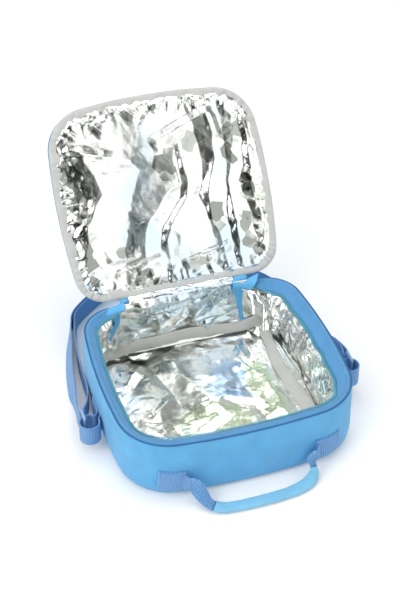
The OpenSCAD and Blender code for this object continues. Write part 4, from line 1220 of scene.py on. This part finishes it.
class LUNCHBOX_OT_lid(bpy.types.Operator):
    """Padded lid with its crumpled foil lining, pale binding and fabric hinge"""
    bl_idname = "lunchbox.lid"
    bl_label = "Lid"

    def execute(self, context):
        body = sizes(context.scene.lunch_body)
        line = Outline(body)
        low = body.height + body.lid_rise
        self.panel(body, line, low)
        self.foil(body, line, low)
        self.binding(body, line, low)
        self.hinge(body, low)
        return {"FINISHED"}

    def panel(self, body, line, low):
        """Cushioned outer face"""
        _, points, normals = line.all_round(320)
        top = low + body.lid_thickness
        inset = 9.2  # of the lid's edge from the tub's outline

        def ring(extra, z, share=1.0):
            xy = (points - normals * (inset + extra)) * share
            soft = 0.35 * wave_noise(xy[:, 0], xy[:, 1], 17, 21) + 0.6 * wave_noise(xy[:, 0], xy[:, 1], 48, 22)
            depth = np.clip((1 - share) * 6, 0, 1)
            crown = 1.6 * math.sin(math.pi / 2 * min(1.0, (1 - share) * 2.6))
            return np.column_stack([xy, z + (soft * depth + crown)])

        rows = [ring(3.0, low + 1.6, f) for f in (0.05, 0.5, 0.9, 1.0)]
        rows += [ring(0.4, low + 1.7), ring(0.0, low + 2.3), ring(-0.15, low + 3.0), ring(0.0, low + 3.8)]
        rows += [ring(3 * (1 - math.cos(a)), top - 3 + 3 * math.sin(a)) for a in np.linspace(0.2, math.pi / 2, 6)]
        shares = (0.99, 0.975, 0.95, 0.92, 0.88, 0.83, 0.77, 0.7, 0.62, 0.54, 0.46, 0.38, 0.3, 0.22, 0.14, 0.07, 0.02)
        rows += [ring(3.2, top, share) for share in shares]
        pad = loft("lid_pad", opened(np.array(rows), body))
        dress(pad, finish("lid_fabric"), "lid", ("lid_panel",))
        core = loft("lid_padding", opened(slab_rows(ring, 5.0, low + 4.8, low + 2.4), body))
        dress(core, finish("cell_foam"), "lid", ("lid_foam",))

    def foil(self, body, line, low):
        """Loose foil creased into large folds, drawn in under the binding all round"""
        n = LID_GRID
        points, normals = line.stations(square_patch(line, n))
        grid, r = patch_points(points - normals * 11.4, np.array([0.0, 2.0]), n)
        x, y = grid[..., 0], grid[..., 1]
        away = (1 - r) * 100
        folds = creased(x, y, FOLD_DEPTHS, LID_FOLDS, 106)
        for start, end, height, width, other in LID_LINES:
            folds = folds + fold_line(x, y, start, end, height, width, other)
        clear = np.clip(away / 3, 0, 1)
        small = facets(x, y, 7.5, 0.30, 101) * np.clip(1.25 - away / 24, 0.0, 1) + facets(x, y, 10, 0.05, 103)
        mid = facets(x, y * 0.8, 26, 0.06, 91)
        push = body.crumple * np.clip(away / 7, 0, 1) * (folds + mid + small * clear)
        bearing = np.arctan2(y, x) * 100
        pleat = np.abs(wave_noise(bearing, away * 0.1, 7, 111)) * 2.0 * np.clip(1 - away / 18, 0, 1) * clear
        z = low + 0.55 - np.clip(push + pleat, -0.2, 8)
        foil_points = np.stack([x, y, z], -1).reshape(-1, 3)
        foil = new_piece("lid_foil", opened(foil_points, body), grid_faces(n, n)[0].tolist(), recalc=False)
        origin, below = opened([[0, 0, 0], [0, 0, -1.0]], body)
        outside = Vector(below - origin)
        if foil.data.polygons[n * n // 2].normal.dot(outside) < 0:
            foil.data.flip_normals()
        apply_modifier(foil, "SOLIDIFY", thickness=FILM, offset=-1.0, use_rim=True)
        dress(foil, finish("lid_lining_foil"), "lid", ("lid_liner",))

    def binding(self, body, line, low):
        """Pale ribbon folded over the lid's edge, puckered where it turns"""
        count = 760
        s, points, normals = line.all_round(count)
        signed = line.signed(s)
        corner = bell(np.abs(signed), FRONT_CORNER, 30) + bell(np.abs(signed), REAR_CORNER, 28)
        x, y = points[:, 0], points[:, 1]
        sway = 1.4 * wave_noise(x, y, 34, 31) + 0.9 * wave_noise(x, y, 9, 32)
        pucker = (0.6 + 0.6 * corner) * ripple(signed, 3.6, 33) + 0.5 * wave_noise(x, y, 7, 34)
        section = [  # inset, rise, share of the sway, share of the pucker
            (16.6, 0.35, 1, 0.5), (15.2, -0.1, 1, 0.9), (13.0, -0.45, 0.8, 1), (10.8, -0.8, 0.4, 0.8),
            (8.8, -0.9, 0.2, 0.6), (7.1, -0.4, 0.1, 0.4), (6.3, 0.6, 0.1, 0.2), (6.2, 1.5, 0.1, 0.15),
            (6.6, 2.3, 0.1, 0.15), (7.7, 2.6, 0.1, 0.1), (8.8, 2.2, 0.1, 0.1), (8.6, 1.4, 0.1, 0),
            (9.5, 0.95, 0.3, 0), (12.5, 0.9, 0.6, 0.3), (16.3, 0.9, 1, 0.4)]
        grid = np.stack([np.column_stack([points - normals * (inset + sway * loose)[:, None],
                                          low + rise + pucker * lumpy]) for inset, rise, loose, lumpy in section], 1)
        ribbon = loft("lid_ribbon", opened(grid, body), close_rows=True,
                      u=np.arange(count + 1) * line.total / count * MM)
        dress(ribbon, finish("lid_binding_fabric"), "lid", ("lid_binding",))

    def hinge(self, body, low):
        """One strip of fabric from the rear wall over the corded hinge seam to the lid"""
        rear = body.depth / 2
        tub_side = [(rear + 0.5, 50), (rear + 0.6, 55), (rear + 0.5, 60), (rear + 0.1, 63.5), (rear - 0.6, 66),
                    (rear - 1.2, 68)]
        lid_side = [(rear - 4.0, low - 2.8), (rear - 5.6, low - 0.4), (rear - 6.4, low + 1.6),
                    (rear - 6.6, low + 3.2), (rear - 8.2, low + 4.8)]
        turned = opened([[0, y, z] for y, z in lid_side], body)
        path = smooth_line([(0, y, z) for y, z in tub_side] + turned.tolist(), 5)
        xs = np.linspace(-69.0, 69.0, 60)
        half = 0.45  # of the fabric's thickness
        through = -frames(path, [1.0, 0, 0])[2]
        rows = []
        for i, p in enumerate(path):
            wave = 0.35 * wave_noise(xs, xs * 0 + i * 2.0, 15, 41)
            outer = np.column_stack([xs, p[1] + through[i, 1] * (half + wave), p[2] + through[i, 2] * (half + wave)])
            inner = np.column_stack([xs, p[1] - through[i, 1] * (half - wave), p[2] - through[i, 2] * (half - wave)])
            rows.append(np.vstack([outer, inner[::-1]]))
        v = np.concatenate([xs, xs[::-1], xs[:1]]) * MM
        strip = loft("hinge_fabric", np.array(rows), v=v)
        dress(strip, finish("lid_fabric"), None, ("hinge_strip", "lid_hinge_flap"))
        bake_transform(strip)

        inner = smooth_line([(0, 102.6, 58), (0, 102.4, 63), (0, 102.9, 67.8), (0, 104.4, 71.2), (0, 107.2, 72.4),
                             (0, 109.8, 72.3), (0, 111.6, 71.7), (0, 113.0, 71.5)], 6)
        xs = np.linspace(-60.0, 54.0, 100)
        through = -frames(inner, [1.0, 0, 0])[2]
        rows = []
        for i, p in enumerate(inner):
            share = math.sin(math.pi * i / (len(inner) - 1))
            lift = share * body.crumple * (0.8 * facets(xs, xs * 0 + i * 1.4, 12, 0.45, 141)
                                           + np.abs(wave_noise(xs, xs * 0 + i * 0.5, 9, 142)))
            rows.append(np.column_stack([xs, p[1] - through[i, 1] * lift, p[2] - through[i, 2] * lift]))
        face = np.array(rows)
        back = face + np.array([0, 0.25, -0.25])
        hinge_foil = loft("hinge_foil", np.concatenate([face, back[:, ::-1]], axis=1))
        dress(hinge_foil, finish("lining_foil"), None)
        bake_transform(hinge_foil)


# ---- the carry handle ----

def handle_run(body, strap):
    """Middle line of the handle's webbing and the direction of its width, from left to right"""
    line = [  # across, out and up, as shares of the handle's size
        (-1, 0, 1), (-0.975, 0, 1), (-0.945, 0.01, 0.985), (-0.9, 0.09, 0.83), (-0.85, 0.27, 0.5),
        (-0.79, 0.55, 0.2), (-0.7, 0.8, 0.06), (-0.56, 0.93, 0), (-0.38, 0.98, 0), (-0.17, 1, 0),
        (0.06, 1, 0), (0.31, 0.97, 0), (0.56, 0.88, 0), (0.75, 0.72, 0.06), (0.85, 0.55, 0.14),
        (0.9, 0.38, 0.26), (0.912, 0.24, 0.42), (0.907, 0.13, 0.57), (0.9065, 0.05, 0.704),
        (0.917, 0.02, 0.852), (0.9455, 0, 0.96), (0.97, 0, 1), (0.985, 0, 1), (1, 0, 1)]
    wide = [
        (0, 0, 1), (0, 0, 1), (0.1, 0, 1), (0.4, 0.1, 0.9), (0.5, 0.4, 0.7), (0.3, 0.9, 0.4), (0, 1, 0.25),
        (0, 1, 0.1), (0, 1, 0), (0, 1, 0), (0, 1, 0), (0, 1, 0.1), (0, 1, 0.2), (0, 1, 0.35), (0, 1, 0.6),
        (-0.2, 0.9, 0.8), (-0.5, 0.6, 1), (-0.9, 0.2, 0.6), (-1, 0, 0.1), (-0.87, 0, 0.5), (-0.5, 0, 0.87),
        (0, 0, 1), (0, 0, 1), (0, 0, 1)]
    half_x, swing_y, swing_z, grip_z = 64.2, -body.depth / 2 - 5, 20.5, 3.6
    path = [(half_x * x, swing_y - strap.reach * y, grip_z + (swing_z - grip_z) * z) for x, y, z in line]
    return path, wide


class LUNCHBOX_OT_handle(bpy.types.Operator):
    """Carry handle: stitched webbing tabs, gathered webbing and a rolled fabric sleeve"""
    bl_idname = "lunchbox.handle"
    bl_label = "Handle"

    def execute(self, context):
        body, strap = sizes(context.scene.lunch_body), sizes(context.scene.lunch_strap)
        line = Outline(body)
        thick = strap.thickness
        for side, name in ((-1, "left"), (1, "right")):
            self.tab(body, strap, line, side, name)
        path, wide = handle_run(body, strap)
        smooth, across = smooth_line(path, 10), smooth_line(wide, 10)
        x = smooth[:, 0]
        share = np.arange(len(smooth)) / 10
        from_end = np.minimum(share, share[-1] - share)
        widths = 15.0 + 1.0 * ease(0.5, 2.0, from_end) - 5.5 * ease(2.5, 6.0, from_end)
        for side, name in ((-1, "left"), (1, "right")):
            keep = x * side > 14  # the sleeve hides where the halves end
            narrow = 1.0 if side < 0 else 0.78
            piece = webbing_strip("handle_web_" + name, smooth[keep], across[keep], widths[keep] * narrow, thick)
            dress(piece, finish("ribbed_webbing"), None, ("handle_webbing",))
            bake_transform(piece)
        self.sleeve(strap, smooth, across, share)
        return {"FINISHED"}

    def tab(self, body, strap, line, side, name):
        """Webbing folded double and box-stitched to the wall"""
        inner, middle, outer, height = 66.0, 78, 89.7, 22.5  # ends and middle from the front's middle; height there
        droop = math.tan(math.radians(6))
        thick = strap.thickness

        def at(s, out, up=0.0):
            return wall_point(side * s, height + (s - middle) * droop + up, out, body, line)

        base, _ = at(np.linspace(inner - 1, outer, 24), 0.75)
        turn = [at(np.array([outer + 0.9 * math.cos(a)]), 1.55 + 0.8 * math.sin(a))[0]
                for a in np.radians(np.linspace(-90, 90, 7)[1:-1])]
        top, _ = at(np.linspace(outer, inner, 24), 2.35)
        path = np.vstack([base] + turn + [top])
        wide = np.broadcast_to([-side * droop, 0, 1.0], path.shape)
        pieces = [webbing_strip("handle_tab_web_" + name, path, wide, strap.width, thick, per_side=6)]
        tongue = [(side * 68.5, *at(np.array([68.5]), 3.2)[0][0][1:]), (side * 66, -110.6, 20.9),
                  (side * 64.4, -112.6, 20.6), (side * 62.6, -113.1, 20.5)]
        tongue_path = smooth_line(tongue, 6)
        width = np.linspace(20.0, 15.4 if side < 0 else 12.0, len(tongue_path))
        pieces.append(webbing_strip("tongue", tongue_path, np.broadcast_to([0, 0, 1.0], tongue_path.shape),
                                    width, thick, per_side=6))
        tab = join("handle_tab_web_" + name, pieces)
        dress(tab, finish("ribbed_webbing"), "tub", ("handle_tab_" + name,))
        box_stitches("handle_tab_stitching_" + name, (68.5, -8.6), (88.3, 8.6), 16, lambda s, up: at(s, 3.08, up))

    def sleeve(self, strap, smooth, across, share):
        """Fabric rolled round the webbing, with its free edge tucked along the underside"""
        first, last = 5.9, 16.3  # the sleeve's ends, counted in points of handle_run's line
        keep = (share >= first) & (share <= last)
        path, wide, place = smooth[keep], across[keep], share[keep]
        _, over, through = frames(path, wide)
        sides = 28
        ring = np.linspace(0, 2 * math.pi, sides, endpoint=False)
        s = distances(path)
        rows = []
        for i in range(len(path)):
            end = min(1.0, 0.9 + 0.05 * min(i, len(path) - 1 - i)) * (1 - 0.22 * ease(13.5, last, place[i]))
            c, q = np.cos(ring), np.sin(ring)
            a = strap.grip_width / 2 * end * np.sign(c) * np.abs(c) ** 0.72
            b = strap.grip_thickness / 2 * end * np.sign(q) * np.abs(q) ** 0.8
            soft = 1 + 0.05 * wave_noise(np.full(sides, s[i]), ring * 6, 12, 51)
            soft = soft + 0.03 * wave_noise(np.full(sides, s[i]), ring * 9, 4.5, 52)
            seam = 0.35 * bell(ring, 2.1, 0.12) - 0.45 * bell(ring, 2.35, 0.1)
            rows.append(path[i] + (a * soft)[:, None] * over[i] + (b * soft + seam)[:, None] * through[i])
        grid = np.array(rows)
        sleeve = loft("handle_sleeve", grid)
        dress(sleeve, finish("sleeve_fabric"), "handle", ("handle_grip",))
        bands = []
        for i in (0, len(path) - 1):
            centre = grid[i].mean(0)
            loop = centre + (grid[i] - centre) * 0.96
            bands.append(tube("sleeve_edge", loop, 0.55, 6, closed=True))
        edge = join("sleeve_edges", bands)
        dress(edge, finish("piping_fabric"), "handle")


# ---- the shoulder strap ----

RING_HEIGHT = 25.0  # of the middle of the rings and their loops (mm)


def arc(centre, radius, start, end, steps, z):
    """Points along an arc at height z, between two angles in degrees"""
    angles = np.radians(np.linspace(start, end, steps + 1))
    return [(centre[0] + radius * math.cos(a), centre[1] + radius * math.sin(a), z) for a in angles]


def strap_run():
    """Middle line of the long strap, from the sewn end at the length slider to the right ring"""
    turned = math.radians(14)
    centre, z = (-42.0, 206.5), 13.7

    def slider(s, n):
        return (centre[0] + s * math.cos(turned) - n * math.sin(turned),
                centre[1] + s * math.sin(turned) + n * math.cos(turned), z)

    wrap, over = 2.4, 4.1  # how far the webbing's two layers lie off the slider's middle
    low, high = 11.3, RING_HEIGHT
    mid = (low + high) / 2
    left, right = (-139.0, -1.0), (139.0, -1.0)
    inner = [slider(-10, -over), slider(-22, -over - 0.4), (-78.6, 188.2, low + 0.6), (-102.5, 166.6, low),
             (-109.6, 148, low), (-114.3, 125, low), (-118.5, 98, low), (-120.3, 70, low), (-121.7, 48, low + 1.6),
             (-125.4, 29, mid), (-131, 12, high - 2.5), (left[0] + 2.4, left[1] + 3, high)]
    outer = [(left[0] - 2.4, left[1] + 3, high), (-140.6, 12, high - 3.5), (-138.4, 26, mid), (-136, 42, low + 1.4),
             (-135, 60, low), (-129.6, 92, low), (-121, 127, low), (-114.6, 149, low), (-105, 169, low),
             (-80.5, 191, low + 0.6), slider(-22, -wrap)]
    through = [slider(-11, -wrap), slider(-7.4, -1.6), slider(-4.6, 1.8), slider(-2, over - 0.4), slider(0, over),
               slider(2, over - 0.4), slider(4.6, 1.8), slider(7.4, -1.6), slider(11, -wrap)]
    back = [(-14, 208.5, low + 1), (20, 209, low), (62, 200, low), (98, 178, low), (119, 148, low), (130, 112, low),
            (136, 76, low), (139, 48, low + 1.6), (141, 28, mid), (141.8, 12, high - 2.5),
            (right[0] + 2.4, right[1] + 3, high)]
    sewn = [(right[0] - 2.3, right[1] + 3, high), (138.6, 9, high - 1.6), (139.7, 15, high - 3.4),
            (139.3, 26, mid + 0.7)]
    return np.array(arc(centre, wrap, 154, -66, 12, z) + smooth_line(inner, 8).tolist()
                    + arc(left, 2.5, 0, -180, 12, high) + smooth_line(outer + through + back, 8).tolist()
                    + arc(right, 2.5, 0, -180, 12, high) + smooth_line(sewn, 5).tolist())


class LUNCHBOX_OT_strap(bpy.types.Operator):
    """Shoulder strap, its stitched loops at the sides, plastic rings and length slider"""
    bl_idname = "lunchbox.strap"
    bl_label = "Strap"

    def execute(self, context):
        body, strap = sizes(context.scene.lunch_body), sizes(context.scene.lunch_strap)
        path = strap_run()
        wide = np.broadcast_to([0, 0, 1.0], path.shape).copy()
        s = distances(path)
        x, y = path[:, 0], path[:, 1]
        # beside the tub's rear half the outer pass on the left and the pass on the right lean in at the top
        beside = ease(26, 60, y) * (1 - ease(120, 165, y))
        outer = (x < np.interp(y, (26, 60, 98, 149), (-132, -127.5, -123, -112))) | (x > 0)
        wide[:, 0] += 0.05 * ripple(s, 60, 61) - 0.30 * np.sign(x) * beside * outer
        long = webbing_strip("strap_web", path, wide, strap.width, strap.thickness, per_side=6)
        dress(long, finish("ribbed_webbing"), "tub", ("shoulder_strap",))
        for side, name in ((-1, "left"), (1, "right")):
            self.loop(body, strap, side, name)
        dress_nodes("ring_plastic", "strap_ring_left", "strap_ring_right", "strap_slider")
        return {"FINISHED"}

    def loop(self, body, strap, side, name):
        """A loop of webbing round the ring, its ends sewn to the side of the tub"""
        half_w = body.width / 2
        centre, r = (half_w + 15, -18.0), 9.8  # of the turn round the ring
        neck = [(half_w + 2.1, 16), (half_w + 2.1, 4), (half_w + 2.2, -6), (half_w + 3.2, -13)]
        ring = [(centre[0] + r * math.cos(a), centre[1] + r * math.sin(a))
                for a in np.radians(np.linspace(168, 500, 34))]
        back = [(half_w + 6.2, -9.0), (half_w + 3.8, -5.2), (half_w + 3.4, 2), (half_w + 3.3, 15)]
        path = np.array(smooth_line([(x, y, 0) for x, y in neck], 6)[:-2].tolist() + [(x, y, 0) for x, y in ring]
                        + smooth_line([(x, y, 0) for x, y in back], 6)[2:].tolist())
        path = path * (side, 1, 1) + (0, 0, RING_HEIGHT)
        web = webbing_strip("strap_loop_" + name, path, np.broadcast_to([0, 0, 1.0], path.shape), strap.width,
                            strap.thickness, per_side=6)
        dress(web, finish("ribbed_webbing"), "tub", ("strap_tab_" + name,))

        def surface(y, up):
            x = np.full(len(y), side * (half_w + 4.15))
            return np.column_stack([x, y, RING_HEIGHT + up]), np.broadcast_to([side * 1.0, 0, 0], (len(y), 3))

        box_stitches("strap_loop_stitching_" + name, (-3.5, -8.5), (13.5, 8.5), 8, surface)


# ---- stage ----

class LUNCHBOX_OT_stage(bpy.types.Operator):
    """Pale floor, soft studio lamps, surroundings and camera"""
    bl_idname = "lunchbox.stage"
    bl_label = "Stage"

    def execute(self, context):
        self.floor()
        self.lamps()
        self.surroundings()
        self.camera(context)
        context.scene.view_settings.view_transform = "Standard"
        return {"FINISHED"}

    def floor(self):
        """White paper that keeps the shadow and shows as white in glossy and clear pieces"""
        deselect()
        bpy.ops.mesh.primitive_plane_add(size=60.0, location=(0, 0, -0.0002))
        floor = bpy.context.active_object
        floor.name = "floor"
        s = Shader("floor_paper")
        s.set(Base_Color=(0.93, 0.93, 0.93, 1), Roughness=0.9, Specular_IOR_Level=0.1)
        path = s.node("LightPath").outputs
        seen = s.maths("MAXIMUM", path["Is Camera Ray"], s.maths("MAXIMUM", path["Is Glossy Ray"],
                                                                 path["Is Transmission Ray"]))
        s.link(s.maths("MULTIPLY", seen, 0.10), "Emission Strength")
        s.set(Emission_Color=(1, 1, 1, 1))
        floor.data.materials.append(s.material)

    def lamps(self):
        """Two large soft lamps"""
        for name, place, size, watts in (("key", (-1.9, -0.9, 1.7), 2.0, 24.0), ("top", (0.5, 0.9, 2.6), 2.0, 19.0)):
            data = bpy.data.lights.new(name, "AREA")
            data.shape = "DISK"
            data.size = size
            data.energy = watts
            lamp = bpy.data.objects.new(name, data)
            lamp.location = place
            lamp.rotation_euler = (Vector((0, 0.05, 0.05)) - Vector(place)).to_track_quat("-Z", "Y").to_euler()
            bpy.context.scene.collection.objects.link(lamp)

    def surroundings(self):
        """A bright soft box before the right side, dark and grey screens beside it, a pale ceiling"""
        world = bpy.data.worlds.new("studio")
        bpy.context.scene.world = world
        world.use_nodes = True
        tree = world.node_tree

        def node(kind, inputs=None, **settings):
            return add_node(tree, kind, inputs, **settings)

        coords = node("TexCoord").outputs["Generated"]
        x, y, z = node("SeparateXYZ", {0: coords}).outputs
        back = node("Math", {0: y, 1: -1.0}, operation="MULTIPLY").outputs[0]
        bearing = node("Math", {0: x, 1: back}, operation="ARCTAN2").outputs[0]
        wobble = node("TexNoise", {"Vector": coords, "Scale": 2.2, "Detail": 1.0}).outputs["Fac"]
        bearing = node("Math", {0: wobble, 1: 0.5, 2: bearing}, operation="MULTIPLY_ADD").outputs[0]
        turn = node("MapRange", {"Value": bearing, "From Min": 0.25 - math.pi, "From Max": 0.25 + math.pi}).outputs[0]
        screens = node("ValToRGB", {"Fac": turn})
        # bearing in degrees, and how bright the screens are there
        bands = [(-180, 0.35), (-128, 0.35), (-120, 1.1), (-48, 1.1), (-42, 0.04), (-18, 0.05), (-15, 0.34),
                 (4, 0.42), (7, 1.5), (76, 1.5), (82, 0.30), (112, 0.30), (120, 0.9), (180, 0.35)]
        ramp = screens.color_ramp
        while len(ramp.elements) < len(bands):
            ramp.elements.new(0.5)
        for element, (angle, level) in zip(ramp.elements, bands):
            element.position = (angle + 180) / 360
            tint = (0.95, 1.0, 0.92) if level < 0.6 else (1.0, 1.0, 0.985)
            element.color = (level * tint[0], level * tint[1], level * tint[2], 1)
        panels = node("TexNoise", {"Vector": coords, "Scale": 3.4, "Detail": 1.0}).outputs["Fac"]
        ceiling = node("ValToRGB", {"Fac": panels})
        for element, position, level in zip(ceiling.color_ramp.elements, (0.40, 0.46), (0.06, 1.45)):
            element.position = position
            element.color = (level, level, level * 0.985, 1)
        upper = node("MapRange", {"Value": z, "From Min": 0.74, "From Max": 0.80}).outputs["Result"]
        sky = node("Mix", {0: upper, 6: screens.outputs["Color"], 7: ceiling.outputs["Color"]}, data_type="RGBA")
        height = node("MapRange", {"Value": z, "From Min": 0.10, "From Max": 0.16}).outputs["Result"]
        whole = node("Mix", {0: height, 6: (0.95, 0.95, 0.95, 1), 7: sky.outputs[2]}, data_type="RGBA")
        background = tree.nodes["Background"]
        tree.links.new(whole.outputs[2], background.inputs["Color"])
        background.inputs["Strength"].default_value = 0.85

    def camera(self, context):
        """Looks down at the box from the front left"""
        data = bpy.data.cameras.new("camera")
        data.lens = 84.0
        data.sensor_width = 36.0
        data.clip_end = 100.0
        camera = bpy.data.objects.new("camera", data)
        azimuth, elevation, distance = math.radians(-17.83), math.radians(39.12), 1.3215
        back = Vector((math.sin(azimuth) * math.cos(elevation), -math.cos(azimuth) * math.cos(elevation),
                       math.sin(elevation)))
        target = Vector((-0.01741, 0.0, 0.14363))
        camera.location = target + back * distance
        camera.rotation_euler = back.to_track_quat("Z", "Y").to_euler()
        context.scene.collection.objects.link(camera)
        context.scene.camera = camera


# ---- add-on ----

class LUNCHBOX_PT_panel(bpy.types.Panel):
    """Sizes, colours and the pieces that they make"""
    bl_idname = "LUNCHBOX_PT_panel"
    bl_label = "Insulated Lunch Box"
    bl_space_type = "VIEW_3D"
    bl_region_type = "UI"
    bl_category = "Lunch Box"

    def draw(self, context):
        scene = context.scene
        for group in (scene.lunch_body, scene.lunch_strap, scene.lunch_colours):
            box = self.layout.box()
            for name in group.bl_rna.properties.keys():
                if name not in ("rna_type", "name"):
                    box.prop(group, name)
        for operator in OPERATORS:
            self.layout.operator(operator.bl_idname)


OPERATORS = (LUNCHBOX_OT_stage, LUNCHBOX_OT_tub, LUNCHBOX_OT_lining, LUNCHBOX_OT_zip, LUNCHBOX_OT_lid,
             LUNCHBOX_OT_handle, LUNCHBOX_OT_strap)
SETTINGS = (("lunch_body", BodySettings), ("lunch_strap", StrapSettings), ("lunch_colours", ColourSettings))


def register():
    for name, group in SETTINGS:
        bpy.utils.register_class(group)
        setattr(bpy.types.Scene, name, bpy.props.PointerProperty(type=group))
    for item in OPERATORS + (LUNCHBOX_PT_panel,):
        bpy.utils.register_class(item)


def unregister():
    for item in reversed(OPERATORS + (LUNCHBOX_PT_panel,)):
        bpy.utils.unregister_class(item)
    for name, group in reversed(SETTINGS):
        delattr(bpy.types.Scene, name)
        bpy.utils.unregister_class(group)


def main():
    register()
    bpy.ops.lunchbox.stage()
    bpy.ops.lunchbox.tub()
    bpy.ops.lunchbox.lining()
    bpy.ops.lunchbox.zip()
    bpy.ops.lunchbox.lid()
    bpy.ops.lunchbox.handle()
    bpy.ops.lunchbox.strap()


if __name__ == "__main__":
    main()
